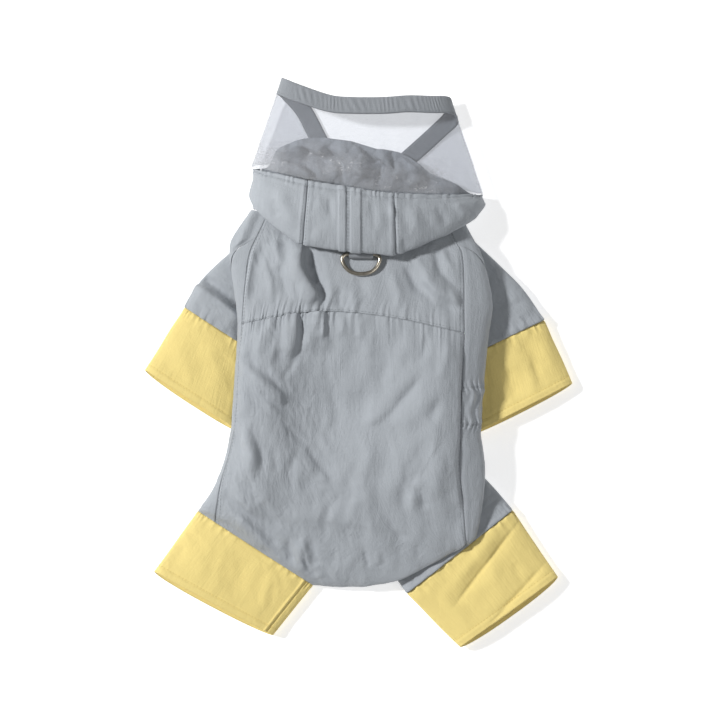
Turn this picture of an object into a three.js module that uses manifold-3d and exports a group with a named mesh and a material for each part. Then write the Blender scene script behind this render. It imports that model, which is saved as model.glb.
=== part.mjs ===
// Dog raincoat, laid on its belly with the head end towards +Y and the back up, in millimetres.
// Every piece is a thin wall on a named surface: the trunk, a flattened tube, the hood or the visor.
import * as THREE from 'three';
import { mergeVertices } from 'three/addons/utils/BufferGeometryUtils.js';
import Module from 'manifold-3d';

const wasm = await Module();
wasm.setup();
const { lerp, clamp, smoothstep } = THREE.MathUtils;

// Driving dimensions
const CLOTH = 1.3;
const SEAM_GAP = 0.3;
const HALF_GAP = SEAM_GAP / 2;
const VISOR_SHEET = 1.0;
const TRIM_THICKNESS = 2.0;
const TRIM_WIDTH = 13;
const EDGE_TUCK = 10;
const ROUNDNESS = 2.4;
const SLEEVE_HEIGHT = 13;
const ARMHOLE_HEIGHT = 14.6;
const RING_WIRE = 3;
const RING_HALF_WIDTH = 14;
const RING_DEPTH = 14.5;
const RING_X = 1.5;
const RING_BAR_Y = 80.5;
const LOOP_WIDTH = 18;
const LOOP_CLEARANCE = 0.35;
const LOOP_TAPE = 1.3;

// Trunk, from the neck to the left hind cuff. Each station runs from a left edge to a right edge;
// crest is the top's height, zl and zr the edges' heights, seamL and seamR the side seams' insets.
const TRUNK = [
  { xl: -80, yl: 114, xr: 80, yr: 104, crest: 25, zl: 12, zr: 12, seamL: 13, seamR: 15 },
  { xl: -94.5, yl: 94, xr: 86, yr: 92, crest: 28, zl: 17, zr: 17, seamL: 18, seamR: 14.5 },
  { xl: -97, yl: 80.5, xr: 91.5, yr: 81.5, crest: 31, zl: 19, zr: 19, seamL: 15, seamR: 14.5 },
  { xl: -94.5, yl: 59.5, xr: 97, yr: 62, crest: 35, zl: 20, zr: 20, seamL: 9.5, seamR: 18.5 },
  { xl: -91.5, yl: 38, xr: 100, yr: 41, crest: 38, zl: 21, zr: 21, seamL: 4.5, seamR: 21.5 },
  { xl: -91, yl: 20.5, xr: 97, yr: 20.5, crest: 40, zl: 21, zr: 21, seamL: 3, seamR: 18.5 },
  { xl: -93, yl: -9, xr: 94, yr: -9, crest: 41, zl: 21, zr: 21, seamL: 3, seamR: 17 },
  { xl: -94.5, yl: -32, xr: 91.5, yr: -30, crest: 40, zl: 21, zr: 21, seamL: 3, seamR: 15 },
  { xl: -96, yl: -50.5, xr: 91, yr: -51.5, crest: 38, zl: 20, zr: 20, seamL: 2.5, seamR: 15 },
  { xl: -100, yl: -69.5, xr: 94, yr: -73, crest: 36, zl: 17, zr: 19, seamL: 2.5, seamR: 19 },
  { xl: -105, yl: -84.5, xr: 94, yr: -92, crest: 33, zl: 14, zr: 18.5, seamL: 3, seamR: 18 },
  { xl: -111, yl: -97, xr: 92, yr: -109, crest: 30, zl: 11, zr: 18, seamL: 6, seamR: 14 },
  { xl: -115.5, yl: -104, xr: 88, yr: -129.5, crest: 27, zl: 9, zr: 17.5, seamL: 9.5, seamR: 8.5 },
  { xl: -118, yl: -107, xr: 80, yr: -137.5, crest: 25, zl: 8, zr: 17, seamL: 11.5, seamR: 1 },
  { xl: -119, yl: -109, xr: 65, yr: -145, crest: 23, zl: 7.5, zr: 16.5, seamL: 12.2, seamR: 0 },
  { xl: -120, yl: -110, xr: 44, yr: -156.5, crest: 21, zl: 7, zr: 15.8, seamL: 13.3, seamR: 0 },
  { xl: -120.5, yl: -110.5, xr: 25.5, yr: -164.5, crest: 19, zl: 6.5, zr: 14.5, seamL: 13.9, seamR: 0 },
  { xl: -121, yl: -111, xr: -7, yr: -169, crest: 15.5, zl: 6, zr: 7, seamL: 14.8, seamR: 0 },
  { xl: -121, yl: -111.5, xr: -34.5, yr: -167.5, crest: 13.5, zl: 6, zr: 6, seamL: 15.5, seamR: 0 },
];
const LAST_STATION = TRUNK.length - 1;
const HEM_STATION = 13;
const LEG_CLOSES_FROM = 16;

// Gathered yoke seam across the upper back, from the left side seam to the right one.
const YOKE_SEAM = [
  { x: -90, y: 28.5 },
  { x: -63, y: 33.5 },
  { x: -46.5, y: 37 },
  { x: -24, y: 38 },
  { x: -4, y: 37 },
  { x: 18, y: 34.5 },
  { x: 39, y: 31 },
  { x: 61, y: 26 },
  { x: 80, y: 21.5 },
];

// Soft folds of the yoke and the back: from one point to another, with a half width and a height
// that is negative for a trough.
const BACK_CREASES = [
  { x0: -76, y0: 78, x1: -62, y1: 46, half: 5, height: 1.8 },
  { x0: -47, y0: 84, x1: -44, y1: 64, half: 5, height: 2.6 },
  { x0: -44, y0: 62, x1: -35, y1: 45, half: 5, height: 2.2 },
  { x0: -36, y0: 80, x1: -33, y1: 60, half: 5, height: -1.6 },
  { x0: -33, y0: 58, x1: -26, y1: 42, half: 5, height: -1.4 },
  { x0: 36, y0: 72, x1: 47, y1: 50, half: 5, height: -1.3 },
  { x0: 50, y0: 76, x1: 64, y1: 40, half: 5, height: 1.8 },
  { x0: -14, y0: 8, x1: -12, y1: -70, half: 45, height: -12 },
  { x0: -53, y0: 34, x1: -56, y1: 4, half: 5, height: 2.2 },
  { x0: -44, y0: 32, x1: -48, y1: -2, half: 5, height: -1.9 },
  { x0: -34, y0: 34, x1: -37, y1: 4, half: 5, height: 1.6 },
  { x0: -80, y0: -8, x1: -54, y1: -32, half: 5, height: 1.6 },
  { x0: -62, y0: -36, x1: -38, y1: -63, half: 5, height: -1.9 },
  { x0: -38, y0: -63, x1: -23, y1: -86, half: 5, height: -1.9 },
  { x0: -72, y0: -46, x1: -34, y1: -88, half: 6, height: 1.6 },
  { x0: -82, y0: -50, x1: -78, y1: -80, half: 5, height: 1.8 },
  { x0: 49, y0: -8, x1: 15, y1: -46, half: 6, height: -1.9 },
  { x0: 58, y0: -20, x1: 28, y1: -52, half: 7, height: 1.9 },
  { x0: 58, y0: -62, x1: 43, y1: -90, half: 5, height: -2 },
  { x0: 43, y0: -90, x1: 50, y1: -111, half: 5, height: -2 },
  { x0: 62, y0: -70, x1: 54, y1: -106, half: 5, height: 1.8 },
  { x0: 38, y0: -60, x1: 28, y1: -100, half: 7, height: 1.4 },
  { x0: -96, y0: -112, x1: -66, y1: -138, half: 6, height: 1.5 },
  { x0: -42, y0: -146, x1: -34, y1: -162, half: 4.5, height: -1.8 },
  { x0: 0, y0: -110, x1: 26, y1: -144, half: 7, height: 1.5 },
];

// Limbs, flattened tubes from the trunk outwards. Each ring runs from an outer edge to an inner
// edge; the cuff begins at the ring that cuffFrom names, and folds lie on the top.
const FRONT_LEFT = {
  cuffFrom: 3,
  folds: [
    { x0: -116, y0: 60, x1: -97, y1: 51, half: 5, height: 3 },
    { x0: -113, y0: 53, x1: -94, y1: 38, half: 5, height: -3.2 },
    { x0: -112, y0: 16, x1: -104, y1: -22, half: 6, height: 1 },
  ],
  rings: [
    { xo: -93, yo: 86, xi: -69, yi: 18, height: 12.4 },
    { xo: -108, yo: 73, xi: -71, yi: 13, height: 12.8 },
    { xo: -121, yo: 59, xi: -74, yi: 9.5, height: 13 },
    { xo: -131, yo: 41.5, xi: -77, yi: 6.5, height: 13 },
    { xo: -142, yo: 25, xi: -81, yi: -14, height: 12.5 },
    { xo: -152, yo: 8.5, xi: -85, yi: -34, height: 12 },
    { xo: -161, yo: -5.5, xi: -89, yi: -52, height: 13.5 },
  ],
};
const FRONT_RIGHT = {
  cuffFrom: 3,
  folds: [
    { x0: 124, y0: 20, x1: 136, y1: -10, half: 6, height: -1.6 },
    { x0: 110, y0: -4, x1: 120, y1: -27, half: 6, height: -1.5 },
  ],
  rings: [
    { xo: 88, yo: 90, xi: 61, yi: 13, height: 12.4 },
    { xo: 107, yo: 72, xi: 68, yi: 11, height: 12.8 },
    { xo: 124, yo: 54.5, xi: 75, yi: 8, height: 13 },
    { xo: 139, yo: 32, xi: 79, yi: 3, height: 13 },
    { xo: 146, yo: 17, xi: 81, yi: -15, height: 12.5 },
    { xo: 153.5, yo: 1, xi: 83, yi: -35, height: 12 },
    { xo: 160.5, yo: -15.5, xi: 85.5, yi: -53.5, height: 13.5 },
  ],
};
const HIND_RIGHT = {
  cuffFrom: 2,
  folds: [
    { x0: 120, y0: -121, x1: 71, y1: -184, half: 5, height: -1.3 },
    { x0: 112, y0: -116, x1: 64, y1: -176, half: 5, height: 1 },
    { x0: 140, y0: -151, x1: 99, y1: -196, half: 5, height: -1.2 },
  ],
  rings: [
    { xo: 92, yo: -84, xi: 22, yi: -154, height: 14.1 },
    { xo: 104, yo: -97, xi: 29, yi: -164, height: 14.1 },
    { xo: 115.5, yo: -111, xi: 36, yi: -173.5, height: 14 },
    { xo: 127, yo: -128, xi: 49, yi: -187, height: 13 },
    { xo: 138.5, yo: -145, xi: 62, yi: -200.5, height: 12.5 },
    { xo: 149.5, yo: -161, xi: 76, yi: -214, height: 14 },
  ],
};
const HIND_LEFT = {
  cuffFrom: 0,
  folds: [
    { x0: -112, y0: -130, x1: -120, y1: -164, half: 8, height: 1 },
    { x0: -86, y0: -146, x1: -92, y1: -178, half: 6, height: -0.9 },
  ],
  rings: [
    { xo: -121, yo: -111.5, xi: -34.5, yi: -167.5, height: 13.5 },
    { xo: -132, yo: -126.5, xi: -44.5, yi: -180, height: 13 },
    { xo: -143, yo: -142, xi: -54.5, yi: -192.5, height: 12.5 },
    { xo: -154, yo: -157, xi: -64.5, yi: -205, height: 14 },
  ],
};
const UNDER_LAYER = 4;

// Hood crown, across from the left side to the right. Each row gives the front rim, and the back
// fold that overhangs the neck seam.
const HOOD = [
  { xr: -75, yr: 146, zr: 0.2, xf: -78, yf: 127, zf: 0.2 },
  { xr: -79, yr: 145.5, zr: 8, xf: -82.5, yf: 126, zf: 9 },
  { xr: -73, yr: 143.5, zr: 19, xf: -76, yf: 114, zf: 22 },
  { xr: -55, yr: 139.5, zr: 29, xf: -61, yf: 100.5, zf: 32 },
  { xr: -38, yr: 135.5, zr: 35, xf: -42, yf: 88.5, zf: 38 },
  { xr: -13, yr: 131.5, zr: 39, xf: -13, yf: 83.5, zf: 41 },
  { xr: 7, yr: 128, zr: 40, xf: 8, yf: 81.5, zf: 41.5 },
  { xr: 26, yr: 126, zr: 38, xf: 28, yf: 80.5, zf: 40 },
  { xr: 56, yr: 125, zr: 31, xf: 60, yf: 93.5, zf: 34 },
  { xr: 82, yr: 125.5, zr: 20, xf: 84, yf: 106, zf: 22 },
  { xr: 92, yr: 125.5, zr: 8, xf: 94.5, yf: 118, zf: 9 },
  { xr: 88, yr: 125, zr: 0.2, xf: 90, yf: 117, zf: 0.2 },
];
const HOOD_SEAM_LEFT = 4;
const HOOD_SEAM_RIGHT = 7;
const HOOD_BULGE = 7;
const RIM_WAVES = 40;
const RIM_WAVE_HEIGHT = 0.9;
const CASING_RIDGES = [
  { x: -12.5, half: 3.2 },
  { x: -2.5, half: 4.6 },
];

// Throat side's front edge, left to right.
const THROAT_EDGE = [
  { x: -75, y: 146 },
  { x: -68, y: 148 },
  { x: -62, y: 160 },
  { x: -48, y: 166 },
  { x: -32, y: 169 },
  { x: -5, y: 166 },
  { x: 14, y: 160.5 },
  { x: 30, y: 158 },
  { x: 41, y: 152 },
  { x: 54, y: 142 },
  { x: 70, y: 135.5 },
  { x: 84, y: 127 },
];
const THROAT_FOLDS = [
  { x0: -66, y0: 150, x1: -20, y1: 132, half: 7, height: 6 },
  { x0: -52, y0: 164, x1: -22, y1: 158, half: 6, height: 7 },
  { x0: -18, y0: 166, x1: 6, y1: 140, half: 7, height: 8 },
  { x0: 12, y0: 158, x1: 36, y1: 138, half: 6, height: 7 },
  { x0: 40, y0: 150, x1: 44, y1: 130, half: 6, height: 5 },
  { x0: 56, y0: 138, x1: 80, y1: 128, half: 5, height: 3 },
];

// Visor, across from the left turned-under flap to the right one: its hood rim and its front edge.
const VISOR = [
  { xr: -52, yr: 152, zr: 0, xe: -23, ye: 168, ze: 0 },
  { xr: -65, yr: 149.5, zr: 0, xe: -37, ye: 194, ze: 0 },
  { xr: -77.5, yr: 148.5, zr: 2.2, xe: -51, ye: 209.5, ze: 1.8 },
  { xr: -81, yr: 147, zr: 10, xe: -58, ye: 214, ze: 7.5 },
  { xr: -73.5, yr: 145, zr: 20, xe: -54, ye: 212.5, ze: 13 },
  { xr: -55, yr: 140.5, zr: 29.6, xe: -42, ye: 207.5, ze: 16 },
  { xr: -38, yr: 136.5, zr: 35.6, xe: -21, ye: 200.5, ze: 18 },
  { xr: -13, yr: 132.5, zr: 39.6, xe: -5, ye: 199, ze: 19 },
  { xr: 7, yr: 129, zr: 40.6, xe: 18, ye: 199, ze: 19 },
  { xr: 26, yr: 127, zr: 38.6, xe: 37, ye: 200.3, ze: 18 },
  { xr: 56, yr: 126, zr: 31.6, xe: 54, ye: 200, ze: 16 },
  { xr: 82, yr: 126.5, zr: 21, xe: 65, ye: 200, ze: 13 },
  { xr: 93, yr: 127, zr: 10, xe: 69.5, ye: 197.5, ze: 7.5 },
  { xr: 88, yr: 128, zr: 2.2, xe: 65, ye: 188.5, ze: 1.8 },
  { xr: 74, yr: 131, zr: 0, xe: 50, ye: 174, ze: 0 },
  { xr: 60, yr: 134, zr: 0, xe: 31, ye: 157, ze: 0 },
];
const VISOR_BULGE = 3;

// A column of a table, smooth through its evenly spaced rows.
function smooth(table, name, s) {
  const last = table.length - 1;
  const i = clamp(Math.floor(s), 0, last - 1);
  const f = s - i;
  const here = table[i][name];
  const next = table[i + 1][name];
  const before = i > 0 ? table[i - 1][name] : 2 * here - next;
  const after = i < last - 1 ? table[i + 2][name] : 2 * next - here;
  const cubic = -before + 3 * here - 3 * next + after;
  const square = 2 * before - 5 * here + 4 * next - after;
  return here + 0.5 * f * (next - before + f * (square + f * cubic));
}

// The y of a curve that is given by its points in x order.
function heightAt(points, x) {
  let i = 0;
  while (i < points.length - 2 && points[i + 1].x < x) i += 1;
  const f = clamp((x - points[i].x) / (points[i + 1].x - points[i].x), 0, 1);
  return smooth(points, 'y', i + f);
}

// Height of soft creases at a place: a rounded ridge along each one, fading at its ends.
function creases(list, x, y) {
  let sum = 0;
  for (const { x0, y0, x1, y1, half, height } of list) {
    const dx = x1 - x0;
    const dy = y1 - y0;
    const length = Math.hypot(dx, dy);
    const along = ((x - x0) * dx + (y - y0) * dy) / length;
    const beside = ((x - x0) * dy - (y - y0) * dx) / length;
    const fade = smoothstep(along, -half, half) * (1 - smoothstep(along, length - half, length + half));
    sum += height * fade * Math.exp(-((beside / half) ** 2));
  }
  return sum;
}

// Trunk surface. a runs from 0 on the left edge to 1 on the right edge; the next quarter on
// either side rounds under to the floor.
function trunk(s, a) {
  const left = [smooth(TRUNK, 'xl', s), smooth(TRUNK, 'yl', s), smooth(TRUNK, 'zl', s)];
  const right = [smooth(TRUNK, 'xr', s), smooth(TRUNK, 'yr', s), smooth(TRUNK, 'zr', s)];
  const angle = Math.PI * clamp(a, 0, 1);
  const side = -Math.sign(Math.cos(angle)) * Math.abs(Math.cos(angle)) ** (2 / ROUNDNESS);
  const lift = Math.max(Math.sin(angle), 0) ** (2 / ROUNDNESS);
  const t = 0.5 + 0.5 * side;
  const edge = lerp(left[2], right[2], t);
  const p = new THREE.Vector3(lerp(left[0], right[0], t), lerp(left[1], right[1], t), edge);
  p.z += (smooth(TRUNK, 'crest', s) - edge) * lift;
  p.z += lift * creases(BACK_CREASES, p.x, p.y);
  const under = (Math.max(-a, a - 1, 0) / 0.25) * (Math.PI / 2);
  if (under > 0) {
    const width = Math.hypot(right[0] - left[0], right[1] - left[1]);
    const inwards = (EDGE_TUCK * (1 - Math.cos(under)) * Math.sign(0.5 - a)) / width;
    p.x += inwards * (right[0] - left[0]);
    p.y += inwards * (right[1] - left[1]);
    p.z *= 1 - Math.sin(under);
  }
  return p;
}

function trunkWidth(s) {
  const dx = smooth(TRUNK, 'xr', s) - smooth(TRUNK, 'xl', s);
  const dy = smooth(TRUNK, 'yr', s) - smooth(TRUNK, 'yl', s);
  return Math.hypot(dx, dy);
}

// Where on a station a point lies that is this far in from the left edge.
function acrossAt(s, inset) {
  const side = 1 - (2 * Math.max(inset, 0)) / trunkWidth(s);
  return Math.acos(clamp(side, 0, 1) ** (ROUNDNESS / 2)) / Math.PI;
}

function leftSeam(s, shift) {
  return acrossAt(s, smooth(TRUNK, 'seamL', s) + shift);
}

function rightSeam(s, shift) {
  const inset = Math.max(smooth(TRUNK, 'seamR', s), 0) - shift;
  return 1 - acrossAt(s, inset);
}

// Right limit of the back: the side seam, then the free hem, then round under the left hind leg.
function backRight(s) {
  const under = 0.24 * smoothstep(s, LEG_CLOSES_FROM, LEG_CLOSES_FROM + 1.5);
  return rightSeam(s, -HALF_GAP) + under;
}

// The place below the edge where a flank's wall has come down to a height.
function flankLimit(s, side, height) {
  const edge = smooth(TRUNK, side < 0 ? 'zl' : 'zr', s);
  const drop = clamp(1 - height / edge, 0, 1);
  return (0.25 * Math.asin(drop)) / (Math.PI / 2);
}

// Height of the trunk's top at a place, found on the two nearest stations.
function trunkTop(x, y) {
  let low = 0;
  let high = LAST_STATION;
  let across = 0.5;
  for (let k = 0; k < 40; k += 1) {
    const s = (low + high) / 2;
    const xl = smooth(TRUNK, 'xl', s);
    const inset = ((x - xl) / (smooth(TRUNK, 'xr', s) - xl)) * trunkWidth(s);
    const half = trunkWidth(s) / 2;
    across = inset < half ? acrossAt(s, inset) : 1 - acrossAt(s, 2 * half - inset);
    if (trunk(s, across).y > y) low = s;
    else high = s;
  }
  return trunk(low, across).z;
}

// Station where the yoke seam crosses a place across the back.
function yokeStation(u) {
  let low = 3;
  let high = 6;
  for (let k = 0; k < 30; k += 1) {
    const s = (low + high) / 2;
    const p = trunk(s, lerp(leftSeam(s, 0), rightSeam(s, 0), u));
    if (p.y > heightAt(YOKE_SEAM, p.x)) low = s;
    else high = s;
  }
  return (low + high) / 2;
}

// A flattened tube that lies on the floor: across from its outer edge to its inner edge on top,
// and back along its flat underside. s counts its rings.
function flatTube({ rings, folds }, s, a) {
  const outer = [smooth(rings, 'xo', s), smooth(rings, 'yo', s)];
  const inner = [smooth(rings, 'xi', s), smooth(rings, 'yi', s)];
  const height = smooth(rings, 'height', s);
  const edge = height * 0.45;
  const angle = 2 * Math.PI * a;
  const side = -Math.sign(Math.cos(angle)) * Math.abs(Math.cos(angle)) ** (2 / ROUNDNESS);
  const lift = Math.abs(Math.sin(angle)) ** (2 / ROUNDNESS);
  const t = 0.5 + 0.5 * side;
  const x = lerp(outer[0], inner[0], t);
  const y = lerp(outer[1], inner[1], t);
  const top = edge + (height - edge + creases(folds, x, y)) * lift;
  const z = a < 0.5 ? top : Math.max(edge * (1 - 1.2 * lift), 0);
  return new THREE.Vector3(x, y, z);
}

// Hood crown: v runs from the front rim over the crown to the back fold, and under to the neck seam.
function hoodCrown(s, v) {
  const rim = new THREE.Vector3(smooth(HOOD, 'xr', s), smooth(HOOD, 'yr', s), smooth(HOOD, 'zr', s));
  const fold = new THREE.Vector3(smooth(HOOD, 'xf', s), smooth(HOOD, 'yf', s), smooth(HOOD, 'zf', s));
  const last = HOOD.length - 1;
  const neck = trunk(-0.05, lerp(-0.2, 1.2, s / last));
  const arch = Math.sin((Math.PI * clamp(s, 0, last)) / last);
  const bulge = HOOD_BULGE * arch;
  const path = [
    rim,
    rim.clone().lerp(fold, 0.33).add(new THREE.Vector3(0, 0, bulge)),
    rim.clone().lerp(fold, 0.72).add(new THREE.Vector3(0, 0, bulge)),
    fold.clone().add(new THREE.Vector3(0, 0, bulge * 0.2)),
    fold.clone().lerp(neck, 0.25).add(new THREE.Vector3(0, 0, -1.5 * arch)),
    neck,
  ];
  const along = v * (path.length - 1);
  return new THREE.Vector3(smooth(path, 'x', along), smooth(path, 'y', along), smooth(path, 'z', along));
}

// Throat side of the hood, between the crown's two lower edges: on the floor at the neck, crumpled
// up towards its front edge.
function throat(u, v) {
  const left = hoodCrown(0, 1 - v);
  const right = hoodCrown(HOOD.length - 1, 1 - v);
  left.x += CLOTH + 3 * SEAM_GAP;
  right.x -= CLOTH + 3 * SEAM_GAP;
  const x = lerp(left.x, right.x, u);
  const reach = heightAt(THROAT_EDGE, x) - lerp(left.y, right.y, u);
  const y = lerp(left.y, right.y, u) + Math.max(reach, 0) * v * v;
  const middle = smoothstep(u, 0, 0.09) * (1 - smoothstep(u, 0.91, 1));
  const rise = smoothstep(v, 0.15, 0.6) * middle;
  return new THREE.Vector3(x, y, CLOTH + rise * (4.6 + creases(THROAT_FOLDS, x, y)));
}

// Visor: v runs from the hood's rim to the front edge.
function visorSurface(s, v) {
  const arch = Math.sin(Math.PI * smoothstep(s, 2, 13));
  const z = lerp(smooth(VISOR, 'zr', s), smooth(VISOR, 'ze', s), v);
  return new THREE.Vector3(
    lerp(smooth(VISOR, 'xr', s), smooth(VISOR, 'xe', s), v),
    lerp(smooth(VISOR, 'yr', s), smooth(VISOR, 'ye', s), v),
    Math.max(z, 0) + VISOR_BULGE * arch * Math.sin(Math.PI * v)
  );
}

// The share of the visor's length that is left free of the trim at its front edge.
function trimStart(s) {
  const step = 0.02;
  const edge = visorSurface(s, 1);
  const along = visorSurface(s + step, 1).sub(visorSurface(s - step, 1)).normalize();
  const back = visorSurface(s, 0).sub(edge);
  const reach = back.clone().cross(along).length();
  return 1 - TRIM_WIDTH / reach;
}

// Evenly spaced numbers, both ends included.
function steps(from, to, count) {
  return Array.from({ length: count + 1 }, (_, i) => lerp(from, to, i / count));
}

// Triangles between two rows of numbered points, each with its place along the row.
function zip(rowA, rowB, triangles, turned) {
  let i = 0;
  let j = 0;
  while (i < rowA.length - 1 || j < rowB.length - 1) {
    const nextA = i < rowA.length - 1 ? rowA[i + 1].u : Infinity;
    const nextB = j < rowB.length - 1 ? rowB[j + 1].u : Infinity;
    const a = rowA[i].index;
    const b = rowB[j].index;
    let c;
    if (nextA <= nextB) {
      i += 1;
      c = rowA[i].index;
    } else {
      j += 1;
      c = rowB[j].index;
    }
    if (a !== c && b !== c) triangles.push(...(turned ? [a, c, b] : [a, b, c]));
  }
}

// A closed wall on a surface. The outer face takes the relief; the inner face is plain, a
// thickness below. A ring joins its last point to its first, and a mirrored surface is one whose
// rows and points run the other way round.
function clothWall(options) {
  const { surface, us, vs, finer, relief, thickness = CLOTH, ring = false, coarse = 2 } = options;
  const outwards = options.mirrored ? -1 : 1;
  const positions = [];
  const triangles = [];
  const step = 1e-3;
  const normalAt = (u, v) => {
    const u0 = ring ? u - step : Math.max(u - step, 0);
    const u1 = ring ? u + step : Math.min(u + step, 1);
    const across = surface(u1, v).sub(surface(u0, v));
    const along = surface(u, Math.min(v + step, 1)).sub(surface(u, Math.max(v - step, 0)));
    return along.cross(across).normalize().multiplyScalar(outwards);
  };
  const place = (p) => {
    positions.push(p.x, p.y, p.z);
    return positions.length / 3 - 1;
  };
  const layRow = (list, pointAt) => {
    const row = list.map((u) => ({ u, index: place(pointAt(u)) }));
    if (ring) row.push({ u: 1, index: row[0].index });
    return row;
  };
  const outerRows = vs.map((v) => {
    const list = finer && finer(v) ? finer(v) : us;
    return layRow(ring ? list.slice(0, -1) : list, (u) => {
      const p = surface(u, v);
      return relief ? p.addScaledVector(normalAt(u, v), relief(u, v, p)) : p;
    });
  });
  const thin = (list) => list.filter((_, i) => i % coarse === 0 || i === list.length - 1);
  const innerVs = thin(vs);
  const innerUs = thin(us);
  const innerRows = innerVs.map((v) =>
    layRow(ring ? innerUs.slice(0, -1) : innerUs, (u) => {
      return surface(u, v).addScaledVector(normalAt(u, v), -thickness);
    })
  );
  for (let k = 0; k < outerRows.length - 1; k += 1) zip(outerRows[k], outerRows[k + 1], triangles, false);
  for (let k = 0; k < innerRows.length - 1; k += 1) zip(innerRows[k], innerRows[k + 1], triangles, true);
  zip(outerRows[0], innerRows[0], triangles, true);
  zip(outerRows[outerRows.length - 1], innerRows[innerRows.length - 1], triangles, false);
  if (!ring) {
    const column = (rows, list, end) => {
      return rows.map((row, k) => ({ u: list[k], index: row[end < 0 ? 0 : row.length - 1].index }));
    };
    zip(column(outerRows, vs, -1), column(innerRows, innerVs, -1), triangles, false);
    zip(column(outerRows, vs, 1), column(innerRows, innerVs, 1), triangles, true);
  }
  return closedGeometry(positions, triangles);
}

// A geometry of points and triangles, turned so that its faces point out.
function closedGeometry(positions, triangles) {
  let volume = 0;
  const corner = (i) => new THREE.Vector3().fromArray(positions, i * 3);
  for (let k = 0; k < triangles.length; k += 3) {
    const a = corner(triangles[k]);
    volume += a.dot(corner(triangles[k + 1]).cross(corner(triangles[k + 2])));
  }
  const faces = volume < 0 ? [...triangles].reverse() : triangles;
  const geometry = new THREE.BufferGeometry();
  geometry.setAttribute('position', new THREE.Float32BufferAttribute(positions, 3));
  geometry.setIndex(faces);
  return geometry;
}

// One body of two solids that meet.
function joined(first, second) {
  const solid = (geometry) => {
    const bare = mergeVertices(geometry, 1e-4);
    const mesh = new wasm.Mesh({
      numProp: 3,
      vertProperties: new Float32Array(bare.attributes.position.array),
      triVerts: new Uint32Array(bare.index.array),
    });
    return new wasm.Manifold(mesh);
  };
  const result = solid(first).add(solid(second)).getMesh();
  const geometry = new THREE.BufferGeometry();
  geometry.setAttribute('position', new THREE.Float32BufferAttribute(result.vertProperties, 3));
  geometry.setIndex([...result.triVerts]);
  return geometry;
}

// Gathers: rounded waves that fade with the distance from their seam.
function gather(count, place, distance, height, reach) {
  const fade = Math.max(1 - distance / reach, 0);
  const uneven = 0.7 + 0.3 * Math.sin(place * 17.3 + 1.7);
  return height * uneven * fade * fade * (0.5 - 0.5 * Math.cos(2 * Math.PI * count * place));
}

const GREY = new THREE.MeshStandardMaterial({ color: 0x959ba1, roughness: 0.82, metalness: 0 });
const GREY_TRIM = new THREE.MeshStandardMaterial({ color: 0x81858a, roughness: 0.8, metalness: 0 });
const YELLOW = new THREE.MeshStandardMaterial({ color: 0xefdd98, roughness: 0.82, metalness: 0 });
const CLEAR = new THREE.MeshStandardMaterial({
  color: 0xe8ecef,
  roughness: 0.12,
  metalness: 0,
  transparent: true,
  opacity: 0.35,
});
const METAL = new THREE.MeshStandardMaterial({ color: 0xb8ad98, roughness: 0.3, metalness: 1 });

const coat = new THREE.Group();

function addPiece(name, geometry, material) {
  const mesh = new THREE.Mesh(geometry, material);
  mesh.name = name;
  coat.add(mesh);
  return mesh;
}

// Back: yoke and gathered panel
const YOKE_WAVES = 24;
const YOKE_GATHERS = { from: 0.22, to: 0.86 };
const STATION_GAP = HALF_GAP / 20;
const backColumns = steps(0, 1, 24);
const gatherColumns = [
  ...steps(0, YOKE_GATHERS.from, 5),
  ...steps(YOKE_GATHERS.from, YOKE_GATHERS.to, YOKE_WAVES * 3).slice(1, -1),
  ...steps(YOKE_GATHERS.to, 1, 3),
];

function yokeGather(u, distance, height, reach) {
  const place = (u - YOKE_GATHERS.from) / (YOKE_GATHERS.to - YOKE_GATHERS.from);
  if (place <= 0 || place >= 1) return 0;
  return gather(YOKE_WAVES, place, distance, height, reach);
}

function backSurface(u, v) {
  const s = lerp(yokeStation(u) + STATION_GAP, LAST_STATION, v);
  return trunk(s, lerp(leftSeam(s, HALF_GAP), backRight(s), u));
}

const backRows = [0, 0.012, 0.03, 0.055, 0.085, ...steps(0.12, 1, 26)];
addPiece(
  'back_panel',
  clothWall({
    surface: backSurface,
    us: backColumns,
    vs: backRows,
    finer: (v) => (v < 0.05 ? gatherColumns : null),
    relief: (u, v) => yokeGather(u, v * 240, 1.1, 20),
  }),
  GREY
);

function yokeSurface(u, v) {
  const s = lerp(0.02, yokeStation(u) - STATION_GAP, v);
  return trunk(s, lerp(leftSeam(s, HALF_GAP), backRight(s), u));
}

addPiece(
  'back_yoke',
  clothWall({
    surface: yokeSurface,
    us: backColumns,
    vs: [...steps(0, 0.78, 7), 0.86, 0.93, 0.97, 1],
    finer: (v) => (v > 0.9 ? gatherColumns : null),
    relief: (u, v) => yokeGather(u, (1 - v) * 80, 0.8, 12),
  }),
  GREY
);

// Flanks, below the raglan sleeves. They come down to the floor at the waist, and end just above
// the sleeve at the armhole and above the leg on the right.

// Raglan seams slant across the shoulder, from a station on the side seam to one below the edge.
const RAGLAN_LEFT = { top: 1.0, foot: 3.25 };
const RAGLAN_RIGHT = { top: 1.4, foot: 3.1 };
const RAGLAN_GAP = 0.032;

function leftFlankHeight(s) {
  return ARMHOLE_HEIGHT * (1 - smoothstep(s, 7.9, 9.2));
}

function rightFlankHeight(s) {
  const waist = smoothstep(s, 7.9, 8.6) * (1 - smoothstep(s, 8.7, 9.4));
  return ARMHOLE_HEIGHT * (1 - waist);
}

function leftFlank(u, v) {
  const edge = lerp(lerp(RAGLAN_LEFT.foot, RAGLAN_LEFT.top, u), LAST_STATION, v);
  const low = -flankLimit(edge, -1, leftFlankHeight(edge));
  return trunk(edge, lerp(low, leftSeam(edge, -HALF_GAP), u));
}

addPiece(
  'side_left',
  clothWall({ surface: leftFlank, us: steps(0, 1, 8), vs: steps(0, 1, 36) }),
  GREY
);

const PATCH = { top: -19, bottom: -47, folds: 3 };

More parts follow.
